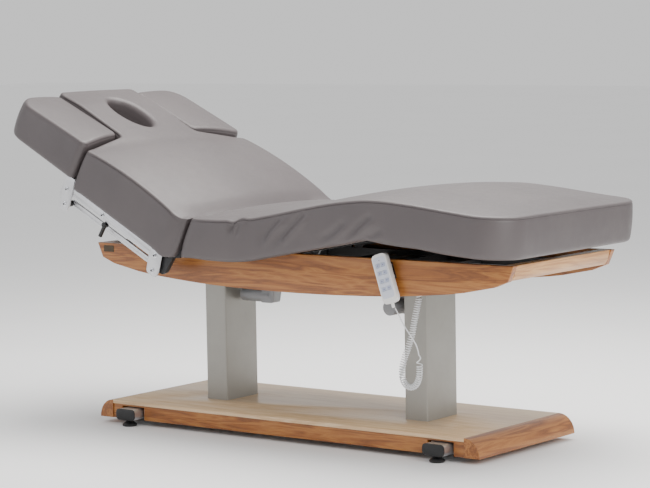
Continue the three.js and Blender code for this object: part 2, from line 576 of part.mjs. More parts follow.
function addLegs() {
  const topZ = BED.hingeDrop;
  const boardZ = [topZ - BED.slab - GAP - BED.board, topZ - BED.slab - GAP];
  const edge = BOARD_HALF;
  const section = cushionSection(BED.rimInner, THIGH.rim, topZ, GROOVE);
  const low = topZ - THIGH.rim - 5;
  const high = topZ + 40;
  const knee = THIGH.length;

  const thighSide = [
    [-14, low], [knee - 14, low], [knee - 3, -4], [knee - 3, high], [32, high], [-2, 0],
  ];
  const thigh = build([slabYZ(section, -16, knee - 3)], [], [slabXZ(thighSide, -500, 500)]);
  add(thighGroup, 'thigh_cushion', thigh, LEATHER);

  const thighSteel = [
    box(16, knee - 17, -edge, edge, ...boardZ),
    rodY(0, 0, AXLE_R, -RAIL.y - 12, RAIL.y + 12, 24),
  ];
  SIDES.forEach(([, side]) => {
    const [y0, y1] = span(side, 185, 209.5);
    thighSteel.push(box(-4, knee - 12, y0, y1, -22, boardZ[0] + 1));
    thighSteel.push(rodY(knee, 0, 14, y0, y1, 24));
    thighSteel.push(box(knee - 40, knee, y0, y1, -14, boardZ[0] + 1));
  });
  const tilt = -THIGH.angle * DEG;
  const dx = LEG_MOTOR.rod[0] - THIGH.x;
  const dz = LEG_MOTOR.rod[1] - THIGH.z;
  const lug = [dx * Math.cos(tilt) - dz * Math.sin(tilt), dx * Math.sin(tilt) + dz * Math.cos(tilt)];
  thighSteel.push(slabXZ(stadium(lug, [0, 0], LUG.halfWidth, 6), -LUG.halfThick, LUG.halfThick));
  thighSteel.push(rodY(lug[0], lug[1], LUG.pinR, -LUG.pinY, LUG.pinY, 16));
  const kneeHoles = SIDES.map(([, side]) => rodY(knee, 0, 8.5, ...span(side, 180, 215), 16));
  add(thighGroup, 'thigh_frame', build(thighSteel, kneeHoles), BLACK_STEEL);

  const calfSide = [[14, low], [CALF.length, low], [CALF.length, high], [3, high], [3, -4]];
  const plan = rounded([
    [-10, -BED.halfWidth], [CALF.length, -BED.halfWidth, CALF.cornerR],
    [CALF.length, BED.halfWidth, CALF.cornerR], [-10, BED.halfWidth],
  ], 8);
  const w = BED.halfWidth;
  const skirt = box(CALF.length - 38, CALF.length, -w, w, topZ - THIGH.rim, topZ - 20);
  const calf = build(
    [slabYZ(section, 3, CALF.length), skirt],
    [],
    [slabXZ(calfSide, -500, 500), slabXY(plan, -200, 200)],
  );
  add(calfGroup, 'calf_cushion', calf, LEATHER);

  const calfSteel = [box(17, CALF.length - 46, -edge, edge, ...boardZ)];
  SIDES.forEach(([, side]) => {
    const [y0, y1] = span(side, 212, 235);
    calfSteel.push(box(10, CALF.length - 120, y0, y1, -22, boardZ[0] + 1));
    calfSteel.push(rodY(0, 0, 14, y0, y1, 24));
    calfSteel.push(box(0, 40, y0, y1, -14, boardZ[0] + 1));
    calfSteel.push(rodY(0, 0, 8, ...span(side, 187, 214), 16));
  });
  add(calfGroup, 'calf_frame', build(calfSteel), BLACK_STEEL);
}

// ---------------------------------------------------------------- motors
// A linear motor lies between its clevis pin on the deck and the lug that it pushes.
function addMotor(name, spec, motorParts) {
  const [px, pz] = spec.pivot;
  const [qx, qz] = spec.rod;
  const length = Math.hypot(qx - px, qz - pz);
  const ux = (qx - px) / length;
  const uz = (qz - pz) / length;
  const at = (t) => [px + ux * t, pz + uz * t];
  const tubeEnd = length * spec.tube;
  const throat = length - FORK.throat;
  const head = rodY(px, pz, MOTOR.headR, -CLEVIS_Y + 2, CLEVIS_Y - 2, 20);
  const bore = rodBetween(at(12), at(length), 0, MOTOR.rodR + 2 * GAP, 16);
  add(bed, name, build(
    [rodBetween(at(0), at(tubeEnd), 0, MOTOR.tubeR, 20), head, ...motorParts],
    [rodY(px, pz, MOTOR.boreR, -60, 60, 16), bore],
  ), GREY_PLASTIC);
  const fork = [
    rodBetween(at(40), at(throat), 0, MOTOR.rodR, 16),
    slabXZ(stadium(at(throat - 4), at(throat), 8, 4), -FORK.outer, FORK.outer),
  ];
  [[-FORK.outer, -FORK.inner], [FORK.inner, FORK.outer]].forEach(([y0, y1]) => {
    fork.push(rodY(qx, qz, FORK.eye, y0, y1, 20));
    fork.push(slabXZ(stadium(at(throat), at(length - FORK.bore - 2), 8, 4), y0, y1));
  });
  add(bed, `${name}_rod`, build(fork, [rodY(qx, qz, FORK.bore, -60, 60, 20)]), SILVER);
}

function addMotors() {
  const can = BACK_MOTOR_CAN;
  addMotor('back_motor', BACK_MOTOR, [
    rodBetween([can.from, can.z], [can.to, can.z], 0, can.r, 24),
    slabXZ(rounded([
      [-262, 398, 8], [-212, 398, 8], [-198, 470, 8], [-216, 492, 8], [-246, 492, 8],
    ], 3), -20, 20),
  ]);
  const legCan = LEG_MOTOR_CAN;
  addMotor('leg_motor', LEG_MOTOR, [
    rodY(legCan.x, legCan.z, legCan.r, legCan.from, legCan.to, 24),
    slabXZ(rounded([
      [276, 396, 10], [324, 396, 10], [324, 440, 10], [292, 481, 8], [256, 484, 8], [262, 448, 8],
    ], 3), -20, 20),
  ]);
}

// ---------------------------------------------------------------- handset and its cord
const HANDSET = { x: 453.5, y: -312, z: 542, width: 54, length: 152, depth: 18, tilt: -17.8 };
const LIP = { y: 14.3, thick: 2.9, low: 14, high: 28, halfWidth: 9 };
const KEYS = { columns: [-9.5, 9.5], rows: [42, 18, -6, -30], width: 14, height: 11, names: ['up', 'down'] };
const KEY_ROWS = ['height', 'back', 'legs', 'memory'];

function addHandset() {
  const set = new THREE.Group();
  set.position.set(HANDSET.x, HANDSET.y, HANDSET.z);
  set.rotation.y = HANDSET.tilt * DEG;
  bed.add(set);
  const w = HANDSET.width / 2;
  const h = HANDSET.length / 2;
  const d = HANDSET.depth / 2;
  const body = slabXZ(rounded([[-w, -h, 18], [w, -h, 18], [w, h, 16], [-w, h, 16]], 4), -d, d);
  const wells = [];
  KEYS.columns.forEach((x) => KEYS.rows.forEach((z) => {
    wells.push(box(
      x - KEYS.width / 2 - 0.5, x + KEYS.width / 2 + 0.5, -d - 5, -d + 3,
      z - KEYS.height / 2 - 0.5, z + KEYS.height / 2 + 0.5,
    ));
  }));
  const relief = rodZ(0, 0, 5, -h - 14, -h + 4, 12);
  // The case hangs by a tongue that drops behind the upturned lip of the hook on the side board.
  const tongueY = LIP.y + LIP.thick + 1;
  const bridgeZ = LIP.high + GAP;
  const clip = [
    box(-LIP.halfWidth, LIP.halfWidth, d - 2, tongueY + 3.4, bridgeZ, bridgeZ + 6),
    box(-LIP.halfWidth, LIP.halfWidth, tongueY, tongueY + 3.4, LIP.low + 4.3, bridgeZ + 6),
  ];
  add(set, 'handset_case', build([body, relief, ...clip], wells), WHITE_PLASTIC);
  const boardY = -FRAME.halfWidth - GAP - HANDSET.y;
  const hook = build([
    box(-20, 20, boardY - 3, boardY, -6, 44),
    box(-14, 14, LIP.y, boardY - 1, LIP.low, LIP.low + 4),
    box(-14, 14, LIP.y, LIP.y + LIP.thick, LIP.low, LIP.high),
  ]);
  add(set, 'handset_hook', hook, BLACK_STEEL);
  KEYS.rows.forEach((z, row) => KEYS.columns.forEach((x, column) => {
    const key = box(
      x - KEYS.width / 2, x + KEYS.width / 2, -d - 1.2, -d + 1.7, z - KEYS.height / 2, z + KEYS.height / 2,
    );
    add(set, `key_${KEY_ROWS[row]}_${KEYS.names[column]}`, key, KEY_BLUE);
  }));
}

// Places along the handset's cord, chosen by hand: the curly part hangs in a loop from the gland
// and rises to the plain lead that enters the handset.
const CURLY_ROUTE = [
  [524, -238, 520.8], [524, -238, 504], [522, -239.5, 480], [517, -243, 450], [510, -247, 412],
  [505, -252, 375], [496, -258, 338], [484, -264, 300], [478, -269, 266], [482, -273, 240],
  [496, -277, 222], [517, -280, 216], [537, -283, 225], [550, -286, 245], [555, -288, 272], [556, -290, 299],
  [554, -291.5, 324],
];
const LEAD_ROUTE = [
  [553.9, -291.6, 324.7], [551.5, -292.6, 336], [546, -294.5, 350], [537, -298, 367], [525, -302.5, 386],
  [513, -306.5, 405], [503, -309.5, 425], [494.5, -311.5, 442], [486.5, -312, 455.2],
];
const CURLY_R = 10;
const LEAD_R = 1.6;

function tube(points, r, sides, steps) {
  const path = new THREE.CatmullRomCurve3(points.map((p) => new THREE.Vector3(...p)));
  const ring = [];
  for (let i = 0; i < sides; i += 1) {
    const t = (i / sides) * 2 * Math.PI;
    ring.push([r * Math.cos(t), r * Math.sin(t)]);
  }
  return new THREE.ExtrudeGeometry(shapeOf(ring), { steps, extrudePath: path, bevelEnabled: false });
}

function addCord() {
  add(bed, 'cord_curly', tube(CURLY_ROUTE, CURLY_R, 10, 28), CORD_WHITE);
  add(bed, 'cord_lead', tube(LEAD_ROUTE, LEAD_R, 8, 24), CORD_WHITE);
  const [gx, gy, gz] = CURLY_ROUTE[0];
  const glandTop = RAIL.bottom - gz - 2 * GAP;
  const profile = [[0, 0], [8, 0], [11, 3], [11, glandTop], [0, glandTop]];
  const gland = new THREE.LatheGeometry(profile.map((p) => new THREE.Vector2(p[0], p[1])), 16);
  add(bed, 'cord_gland', gland.rotateX(Math.PI / 2).translate(gx, gy, gz + GAP), BLACK_PLASTIC);
}

addBase();
addColumns();
addDeck();
addSeat();
addBack();
addArmrests();
addLegs();
addMotors();
addHandset();
addCord();

export default bed;
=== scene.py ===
"""Looks of an electric facial treatment bed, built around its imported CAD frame.

Sizes are millimetres from the middle of the plinth, X towards the foot end, Y towards the far
side and Z up. place() turns them into the frame's metres.
"""
import json
import math

import bmesh
import bpy
import numpy as np
from mathutils import Matrix, Vector
from mathutils.geometry import delaunay_2d_cdt


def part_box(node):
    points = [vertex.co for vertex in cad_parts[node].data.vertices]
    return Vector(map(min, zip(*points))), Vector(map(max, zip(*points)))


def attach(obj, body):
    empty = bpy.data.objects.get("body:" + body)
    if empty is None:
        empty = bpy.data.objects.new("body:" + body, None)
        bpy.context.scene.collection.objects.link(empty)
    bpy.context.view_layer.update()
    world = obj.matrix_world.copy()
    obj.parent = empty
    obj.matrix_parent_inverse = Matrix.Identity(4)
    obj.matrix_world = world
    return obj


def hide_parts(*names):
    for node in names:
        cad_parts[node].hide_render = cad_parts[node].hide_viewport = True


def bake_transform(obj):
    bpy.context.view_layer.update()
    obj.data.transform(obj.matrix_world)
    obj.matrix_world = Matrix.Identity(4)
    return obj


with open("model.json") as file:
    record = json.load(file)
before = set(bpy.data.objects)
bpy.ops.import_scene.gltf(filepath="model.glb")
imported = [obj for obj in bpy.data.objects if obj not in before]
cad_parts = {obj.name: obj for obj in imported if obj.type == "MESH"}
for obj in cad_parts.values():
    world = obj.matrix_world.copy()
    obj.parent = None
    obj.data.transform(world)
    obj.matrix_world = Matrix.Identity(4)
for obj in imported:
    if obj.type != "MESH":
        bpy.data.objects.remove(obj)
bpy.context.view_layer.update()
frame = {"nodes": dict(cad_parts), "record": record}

BODIES = frame["record"]["behaviour"]["bodies"]
BODY_OF = {node: body for body, nodes in BODIES.items() for node in nodes}
SIDES = (("near", -1), ("far", 1))
MM = 0.001

panel_low, panel_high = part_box("base_top_panel")
MIDDLE_X = (panel_low.x + panel_high.x) / 2


def place(x, y, z):
    """A point given in millimetres from the plinth's middle, in the frame's metres."""
    return Vector((MIDDLE_X + x * MM, y * MM, z * MM))


def place_all(points):
    """The same for an array of points."""
    return np.asarray(points, float) * MM + np.array([MIDDLE_X, 0.0, 0.0])


# ------------------------------------------------------------------ camera
CAMERA_SPOT = (4672.5, -6142.3, 1331.9)
CAMERA_YAW, CAMERA_PITCH, CAMERA_ROLL = 37.315, 5.429, -0.989
LENS = 134.86


def add_camera():
    yaw, pitch, roll = (math.radians(a) for a in (CAMERA_YAW, CAMERA_PITCH, CAMERA_ROLL))
    ahead = Vector((-math.sin(yaw) * math.cos(pitch), math.cos(yaw) * math.cos(pitch), -math.sin(pitch)))
    right = ahead.cross(Vector((0, 0, 1))).normalized()
    up = right.cross(ahead)
    across = math.cos(roll) * right + math.sin(roll) * up
    upward = math.cos(roll) * up - math.sin(roll) * right
    data = bpy.data.cameras.new("camera")
    data.lens = LENS
    data.sensor_width = 36
    data.clip_end = 100
    camera = bpy.data.objects.new("camera", data)
    turn = Matrix((across, upward, -ahead)).transposed().to_4x4()
    camera.matrix_world = Matrix.Translation(place(*CAMERA_SPOT)) @ turn
    bpy.context.scene.collection.objects.link(camera)
    bpy.context.scene.camera = camera


add_camera()


# ------------------------------------------------------------------ node materials
class Shader:
    """A new material with a Principled shader, and short ways to add nodes to it."""

    def __init__(self, name, **constants):
        self.material = bpy.data.materials.new(name)
        self.material.use_nodes = True
        self.tree = self.material.node_tree
        self.shader = self.tree.nodes["Principled BSDF"]
        for socket, value in constants.items():
            self.shader.inputs[socket.replace("_", " ")].default_value = value
        self.place = self.tree.nodes.new("ShaderNodeTexCoord").outputs["Object"]

    def node(self, kind, **inputs):
        made = self.tree.nodes.new(kind)
        for socket, value in inputs.items():
            self.feed(made.inputs[socket.replace("_", " ")], value)
        return made

    def feed(self, socket, value):
        if isinstance(value, bpy.types.NodeSocket):
            self.tree.links.new(value, socket)
        else:
            socket.default_value = value

    def stretched(self, scale, turn=(0, 0, 0)):
        return self.node("ShaderNodeMapping", Vector=self.place, Scale=scale, Rotation=turn).outputs[0]

    def noise(self, scale, detail=3, where=None, rough=0.55, distort=0):
        made = self.node("ShaderNodeTexNoise", Vector=where or self.place, Scale=scale, Detail=detail)
        made.inputs["Roughness"].default_value = rough
        made.inputs["Distortion"].default_value = distort
        return made.outputs["Fac"]

    def cells(self, scale, feature="DISTANCE_TO_EDGE", where=None):
        made = self.node("ShaderNodeTexVoronoi", Vector=where or self.place, Scale=scale)
        made.feature = feature
        return made.outputs["Distance"]

    def math(self, operation, a, b=0.0, clamp=False):
        made = self.tree.nodes.new("ShaderNodeMath")
        made.operation = operation
        made.use_clamp = clamp
        self.feed(made.inputs[0], a)
        self.feed(made.inputs[1], b)
        return made.outputs[0]

    def ramp(self, fac, *stops):
        made = self.node("ShaderNodeValToRGB", Fac=fac)
        elements = made.color_ramp.elements
        while len(elements) < len(stops):
            elements.new(0.5)
        for element, (spot, colour) in zip(elements, stops):
            element.position = spot
            element.color = (*colour, 1)
        return made.outputs["Color"]

    def spread(self, fac, low, high, from_low=0.3, from_high=0.7):
        made = self.node("ShaderNodeMapRange", Value=fac)
        sockets = ("From Min", "From Max", "To Min", "To Max")
        for socket, value in zip(sockets, (from_low, from_high, low, high)):
            made.inputs[socket].default_value = value
        return made.outputs["Result"]

    def colour(self, socket):
        self.feed(self.shader.inputs["Base Color"], socket)
        return self

    def roughness(self, fac, low, high):
        self.feed(self.shader.inputs["Roughness"], self.spread(fac, low, high))
        return self

    def bump(self, *layers):
        """Stacks (height socket, depth in metres) layers."""
        normal = None
        for height, depth in layers:
            made = self.node("ShaderNodeBump", Height=height, Distance=depth)
            made.inputs["Strength"].default_value = 1.0
            if normal is not None:
                self.feed(made.inputs["Normal"], normal)
            normal = made.outputs["Normal"]
        self.feed(self.shader.inputs["Normal"], normal)
        return self


def srgb(r, g, b):
    """A colour given as screen values from 0 to 255, in linear light."""
    return tuple(((c / 255 + 0.055) / 1.055) ** 2.4 if c > 10 else c / 255 / 12.92 for c in (r, g, b))


def leather():
    s = Shader("leather", Coat_Weight=0.12, Coat_Roughness=0.38, Specular_IOR_Level=0.5)
    cloud = s.noise(3.5, 4)
    s.colour(s.ramp(cloud, (0.25, srgb(76, 69, 70)), (0.5, srgb(81, 74, 75)), (0.75, srgb(86, 79, 79))))
    s.roughness(s.noise(30, 4), 0.40, 0.50)
    grain = s.math("MULTIPLY", s.cells(620), 2.0, clamp=True)
    pores = s.noise(1500, 2)
    s.bump((s.noise(14, 3), 0.0011), (grain, 0.00012), (pores, 0.00005))
    return s.material


def wood(name, dark, mid, light, figure=1.0, grain=(1.0, 16.0, 16.0)):
    s = Shader(name, Coat_Weight=0.25, Coat_Roughness=0.22)
    where = s.stretched(grain)
    broad = s.noise(2.2 * figure, 3, where, 0.6, 0.8)
    rings = s.math("FRACT", s.math("MULTIPLY", broad, 9.0))
    soft_rings = s.math("PINGPONG", s.math("MULTIPLY", broad, 9.0), 1.0)
    fibres = s.noise(60, 6, s.stretched(tuple(1.2 if g == 1 else 30.0 for g in grain)), 0.7)
    tone = s.math("ADD", s.math("MULTIPLY", soft_rings, 0.42), s.math("MULTIPLY", fibres, 0.6))
    s.colour(s.ramp(tone, (0.2, dark), (0.5, mid), (0.78, light)))
    s.roughness(fibres, 0.30, 0.44)
    s.bump((fibres, 0.00018), (rings, 0.00003))
    return s.material


def brushed_metal():
    s = Shader("silver", Metallic=0.9)
    lines = s.noise(220, 3, s.stretched((1.0, 1.0, 9.0)))
    s.colour(s.ramp(s.noise(8), (0.3, srgb(196, 196, 199)), (0.7, srgb(212, 212, 214))))
    s.roughness(lines, 0.30, 0.44)
    s.bump((lines, 0.00003))
    return s.material


def chrome():
    s = Shader("chrome", Metallic=1.0)
    s.colour(s.ramp(s.noise(12), (0.3, srgb(206, 207, 210)), (0.7, srgb(222, 223, 226))))
    s.roughness(s.noise(90), 0.12, 0.2)
    return s.material


def painted(name, colour, shade, rough=(0.38, 0.46), metal=0.0, peel=0.00006, coat=0.0):
    s = Shader(name, Metallic=metal, Coat_Weight=coat)
    s.colour(s.ramp(s.noise(6, 4), (0.3, shade), (0.7, colour)))
    s.roughness(s.noise(45, 3), *rough)
    s.bump((s.noise(700, 2), peel))
    return s.material


BOARD_TONES = (srgb(104, 56, 17), srgb(148, 88, 34), srgb(174, 116, 54))
FOOT_TONES = (srgb(158, 104, 54), srgb(190, 138, 82), srgb(206, 158, 102))
PALE_TONES = (srgb(196, 160, 118), srgb(214, 182, 142), srgb(224, 196, 158))
GRAIN_ACROSS = (16.0, 1.0, 16.0)

MATERIALS = {
    "leather": leather(),
    "wood": wood("wood", *BOARD_TONES),
    "end_wood": wood("end_wood", *BOARD_TONES, grain=GRAIN_ACROSS),
    "pale_wood": wood("pale_wood", *PALE_TONES),
    "silver": brushed_metal(),
    "chrome": chrome(),
    "column_paint": painted("column_paint", srgb(158, 156, 150), srgb(150, 148, 142), metal=0.45),
    "black_steel": painted("black_steel", srgb(30, 30, 32), srgb(22, 22, 24), (0.42, 0.56), peel=0.00012),
    # Black plastic parts; the same material also paints the shade inside the screw sockets.
    "black_plastic": painted("black_plastic", srgb(24, 24, 25), srgb(18, 18, 19), (0.34, 0.5)),
    "grey_plastic": painted("grey_plastic", srgb(150, 151, 154), srgb(140, 141, 144), (0.4, 0.52)),
    "white_plastic": painted("white_plastic", srgb(232, 231, 228), srgb(224, 223, 221), (0.26, 0.34)),
    "key_blue": painted("key_blue", srgb(176, 184, 206), srgb(166, 174, 196), (0.42, 0.5)),
    "cord_white": painted("cord_white", srgb(226, 227, 228), srgb(216, 217, 219), (0.34, 0.44)),
    "foot_wood": wood("foot_wood", *FOOT_TONES, grain=GRAIN_ACROSS),
    "keypad": painted("keypad", srgb(206, 210, 222), srgb(198, 202, 214), (0.34, 0.42)),
    "key_mark": painted("key_mark", srgb(120, 112, 140), srgb(110, 102, 130), (0.4, 0.5)),
    "label": painted("label", srgb(84, 72, 56), srgb(70, 60, 46), (0.3, 0.4), metal=0.6),
}


# ------------------------------------------------------------------ making pieces
def finish_piece(obj, body, look, replaces=()):
    obj.data.materials.clear()
    obj.data.materials.append(MATERIALS[look])
    if body:
        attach(obj, body)
    if replaces:
        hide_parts(*replaces)
    return obj


def mesh_piece(name, points, faces, smooth=True):
    """A mesh object from points in millimetres."""
    mesh = bpy.data.meshes.new(name)
    mesh.from_pydata([tuple(p) for p in place_all(points)], [], faces)
    mesh.update()
    mesh.polygons.foreach_set("use_smooth", [smooth] * len(mesh.polygons))
    obj = bpy.data.objects.new(name, mesh)
    bpy.context.scene.collection.objects.link(obj)
    return obj


def sharpen(bm, angle=34):
    """Marks the edges that bend by more than the angle as sharp."""
    for edge in bm.edges:
        edge.smooth = len(edge.link_faces) == 2 and edge.calc_face_angle(0) < math.radians(angle)


def bevel(obj, width, segments=3, angle=34):
    made = obj.modifiers.new("edges", "BEVEL")
    made.width = width * MM
    made.segments = segments
    made.limit_method = "ANGLE"
    made.angle_limit = math.radians(angle)
    made.harden_normals = True
    made.use_clamp_overlap = True
    return obj


def finished_copy(node, look, width, segments=2):
    """A piece that stands for a CAD node of the same shape, with its hard edges eased."""
    bm = bmesh.new()
    bm.from_mesh(frame["nodes"][node].data)
    bmesh.ops.remove_doubles(bm, verts=bm.verts, dist=2e-5)
    bmesh.ops.dissolve_limit(bm, angle_limit=math.radians(0.4), verts=bm.verts, edges=bm.edges)
    bmesh.ops.recalc_face_normals(bm, faces=bm.faces)
    for face in bm.faces:
        face.smooth = True
    if not width:
        sharpen(bm)
    mesh = bpy.data.meshes.new(node + "_finished")
    bm.to_mesh(mesh)
    bm.free()
    obj = bpy.data.objects.new(node + "_finished", mesh)
    bpy.context.scene.collection.objects.link(obj)
    if width:
        bevel(obj, width, segments)
    return finish_piece(obj, BODY_OF[node], look, [node])


def lathe(name, origin, axis, profile, sides=24):
    """A turned piece: profile is [(distance along the axis, radius), ...] in millimetres."""
    axis = Vector(axis).normalized()
    side = axis.orthogonal().normalized()
    other = axis.cross(side)
    points, faces = [], []
    for along, radius in profile:
        for i in range(sides):
            t = 2 * math.pi * i / sides
            offset = side * math.cos(t) + other * math.sin(t)
            points.append(Vector(origin) + axis * along + offset * max(radius, 0.01))
    rows = len(profile)
    for r in range(rows - 1):
        for i in range(sides):
            j = (i + 1) % sides
            faces.append((r * sides + i, r * sides + j, (r + 1) * sides + j, (r + 1) * sides + i))
    faces.append(tuple(reversed(range(sides))))
    faces.append(tuple((rows - 1) * sides + i for i in range(sides)))
    obj = mesh_piece(name, points, faces)
    bm = bmesh.new()
    bm.from_mesh(obj.data)
    bmesh.ops.recalc_face_normals(bm, faces=bm.faces)
    sharpen(bm, 40)
    bm.to_mesh(obj.data)
    bm.free()
    return obj


# ------------------------------------------------------------------ smooth lines
def smoothstep(t):
    t = np.clip(t, 0.0, 1.0)
    return t * t * (3 - 2 * t)


def hump(x, middle, width):
    return np.exp(-((x - middle) ** 2) / (2 * width**2))


class SmoothLine:
    """A smooth curve through rows of values given at increasing stations, straight beyond its ends."""

    def __init__(self, stations, values):
        self.stations = np.asarray(stations, float)
        self.values = np.asarray(values, float)
        self.slopes = np.gradient(self.values, self.stations, axis=0)

    def __call__(self, where):
        where = np.asarray(where, float)
        inside = np.clip(where, self.stations[0], self.stations[-1])
        i = np.clip(np.searchsorted(self.stations, inside) - 1, 0, len(self.stations) - 2)
        step = (self.stations[i + 1] - self.stations[i])[..., None]
        t = (inside - self.stations[i])[..., None] / step
        a, b = self.values[i], self.values[i + 1]
        slope_a, slope_b = self.slopes[i] * step, self.slopes[i + 1] * step
        curve = a * (1 + 2 * t) * (1 - t) ** 2 + slope_a * t * (1 - t) ** 2
        curve = curve + b * t * t * (3 - 2 * t) - slope_b * t * t * (1 - t)
        end_slope = np.where((where > inside)[..., None], self.slopes[-1], self.slopes[0])
        return curve + (where - inside)[..., None] * end_slope


def even_line(points, spacing):
    """Points of a smooth curve through the given ones, spaced evenly along it."""
    points = np.asarray(points, float)
    reach = np.concatenate(([0], np.cumsum(np.linalg.norm(np.diff(points, axis=0), axis=1))))
    curve = SmoothLine(reach, points)
    dense = curve(np.linspace(0, reach[-1], 4000))
    length = np.concatenate(([0], np.cumsum(np.linalg.norm(np.diff(dense, axis=0), axis=1))))
    count = max(2, int(round(length[-1] / spacing)) + 1)
    even = np.linspace(0, length[-1], count)
    return np.stack([np.interp(even, length, dense[:, k]) for k in range(dense.shape[1])], axis=1)


# ------------------------------------------------------------------ curly cord
CURLY_ROUTE = (
    (524, -238, 520.8), (524, -238, 504), (522, -239.5, 480), (517, -243, 450), (510, -247, 412),
    (505, -252, 375), (496, -258, 338), (484, -264, 300), (478, -269, 266), (482, -273, 240),
    (496, -277, 222), (517, -280, 216), (537, -283, 225), (550, -286, 245), (555, -288, 272),
    (556, -290, 299), (554, -291.5, 324),
)
LEAD_ROUTE = (
    (551.5, -292.6, 336), (546, -294.5, 350), (537, -298, 367), (525, -302.5, 386),
    (513, -306.5, 405), (503, -309.5, 425), (494.5, -311.5, 442), (486.5, -312, 455.2),
)
WIRE = 3.6
COIL_R = 8.2
PITCH = 7.2
LOOSE_PITCH = 34.0
POINTS_PER_TURN = 14


def coiled(route):
    """A helix along the route that opens out straight at both ends."""
    line = even_line(route, 0.25)
    along = np.linspace(0, 0.25 * (len(line) - 1), len(line))
    to_end = np.minimum(along, along[-1] - along)
    radius = COIL_R * smoothstep(to_end / 30)
    pitch = PITCH + (LOOSE_PITCH - PITCH) * (1 - smoothstep((to_end - 20) / 24))
    turn = np.concatenate(([0], np.cumsum(0.25 / pitch[1:])))
    wanted = np.linspace(0, turn[-1], int(turn[-1] * POINTS_PER_TURN))
    pick = np.interp(wanted, turn, np.arange(len(line)))
    tangents = np.gradient(line, axis=0)
    tangents /= np.linalg.norm(tangents, axis=1)[:, None]
    side = np.array([1.0, 0.0, 0.0])
    sides = []
    for tangent in tangents:
        side = side - tangent * (side @ tangent)
        side /= np.linalg.norm(side)
        sides.append(side)
    sides = np.array(sides)
    others = np.cross(tangents, sides)
    def sample(rows):
        return np.stack([np.interp(pick, np.arange(len(line)), rows[:, k]) for k in range(3)], axis=1)
    angle = (2 * math.pi * wanted)[:, None]
    reach = np.interp(pick, np.arange(len(line)), radius)[:, None]
    return sample(line) + reach * (np.cos(angle) * sample(sides) + np.sin(angle) * sample(others))


def add_cord():
    helix = coiled(CURLY_ROUTE)
    lead = even_line((helix[-1],) + LEAD_ROUTE, 4.0)
    points = place_all(np.vstack((helix, lead[1:])))
    curve = bpy.data.curves.new("curly_cord", "CURVE")
    curve.dimensions = "3D"
    curve.bevel_depth = WIRE / 2 * MM
    curve.bevel_resolution = 3
    curve.use_fill_caps = True
    spline = curve.splines.new("POLY")
    spline.points.add(len(points) - 1)
    spline.points.foreach_set("co", np.hstack((points, np.ones((len(points), 1)))).ravel())
    spline.use_smooth = True
    cord = bpy.data.objects.new("curly_cord", curve)
    bpy.context.scene.collection.objects.link(cord)
    finish_piece(cord, "deck", "cord_white", ["cord_curly", "cord_lead"])


add_cord()


# ------------------------------------------------------------------ upholstery
BACK_AXLE = (-305, 594)
BACK_TURN = math.radians(28.2)
SET_BACK = 26
HINGE_DROP = 105
HALF_WIDTH = 400
BACK_LENGTH = 800
SHOULDER = 432
SLANT = 52
HEAD_HALF = 184
FOOT_END = 1204
SEAT_CUT = 113
THIGH_CUT = 471


def on_back(s, d):
    """The side-plane place at the distance s up the back and the depth d under its top."""
    along, up = -(s + SET_BACK), HINGE_DROP - d
    return (BACK_AXLE[0] + along * math.cos(BACK_TURN) + up * math.sin(BACK_TURN),
            BACK_AXLE[1] - along * math.sin(BACK_TURN) + up * math.cos(BACK_TURN))


def arch(s):
    return 17 * max(0.0, math.sin(math.pi * s / 430)) ** 0.7 if s < 430 else 0.0


def back_station(s):
    rim = 141 - 29 * float(smoothstep((s - SHOULDER) / SLANT))
    return (-s, *on_back(s, -arch(s)), *on_back(s, rim))


# Top seam and lower edge of the long cushion in the side plane: station, x and z of each.
BACK_STEPS = (800, 700, 600, 500, 470, 440, 425, 400, 360, 310, 260, 210, 160, 120, 90, 60)
STATIONS = [back_station(s) for s in BACK_STEPS]
STATIONS += [
    (-16, -272, 699, -345, 575), (16, -230, 699, -280, 578),
    (98, -165, 700, -165, 573), (186, -77, 703, -60, 573), (243, -20, 708, 2, 579), (284, 20, 713, 42, 587),
    (353, 88, 725, 111, 600), (471, 204, 748, 226, 621), (586, 317, 768, 335, 641),
    (669, 400, 778, 395, 653), (719, 450, 781.5, 440, 661), (769, 500, 781, 490, 655),
    (841, 572, 776, 562, 648), (913, 643, 769, 633, 643),
    (983, 713, 761, 703, 634), (1087, 816, 750, 806, 625), (1213, 942, 742, 931, 617),
]
LONG_LINES = SmoothLine([row[0] for row in STATIONS], [row[1:] for row in STATIONS])

# Pulled folds of the cover on the side panels: places in X and Z, depth and half width of each.
FOLDS = (
    (((-26, 722), (-53, 698), (-78, 654)), 10.0, 7.0),
    (((-10, 716), (-36, 682), (-55, 645)), 4.5, 5.0),
    (((131, 723), (87, 685), (39, 625)), 6.0, 8.0),
    (((223, 742), (164, 691), (98, 631)), 7.0, 9.0),
    (((372, 717), (315, 676), (262, 647)), 6.0, 8.5),
    (((471, 739), (427, 711), (370, 661)), 6.6, 9.0),
    (((503, 696), (470, 677), (440, 664)), 4.8, 7.0),
)


def fold_push(x, z):
    """How far the pulled folds move the side cover outwards at a place in the side plane."""
    push = np.zeros_like(x)
    for route, depth, width in FOLDS:
        line = even_line(route, 3.0)
        gap = np.hypot(x[:, None] - line[None, :, 0], z[:, None] - line[None, :, 1])
        near = gap.argmin(axis=1)
        tangent = np.gradient(line, axis=0)[near]
        tangent /= np.linalg.norm(tangent, axis=1)[:, None]
        across = (x - line[near, 0]) * -tangent[:, 1] + (z - line[near, 1]) * tangent[:, 0]
        share = near / (len(line) - 1)
        beyond = np.sqrt(np.maximum(gap[np.arange(len(x)), near] ** 2 - across**2, 0))
        fade = smoothstep(share / 0.22 + 0.25) * smoothstep((1 - share) / 0.4 + 0.05) * hump(beyond, 0, 8)
        push += depth * fade * (-hump(across, 0, width) + 0.8 * hump(across, 2.1 * width, 0.9 * width))
    return push


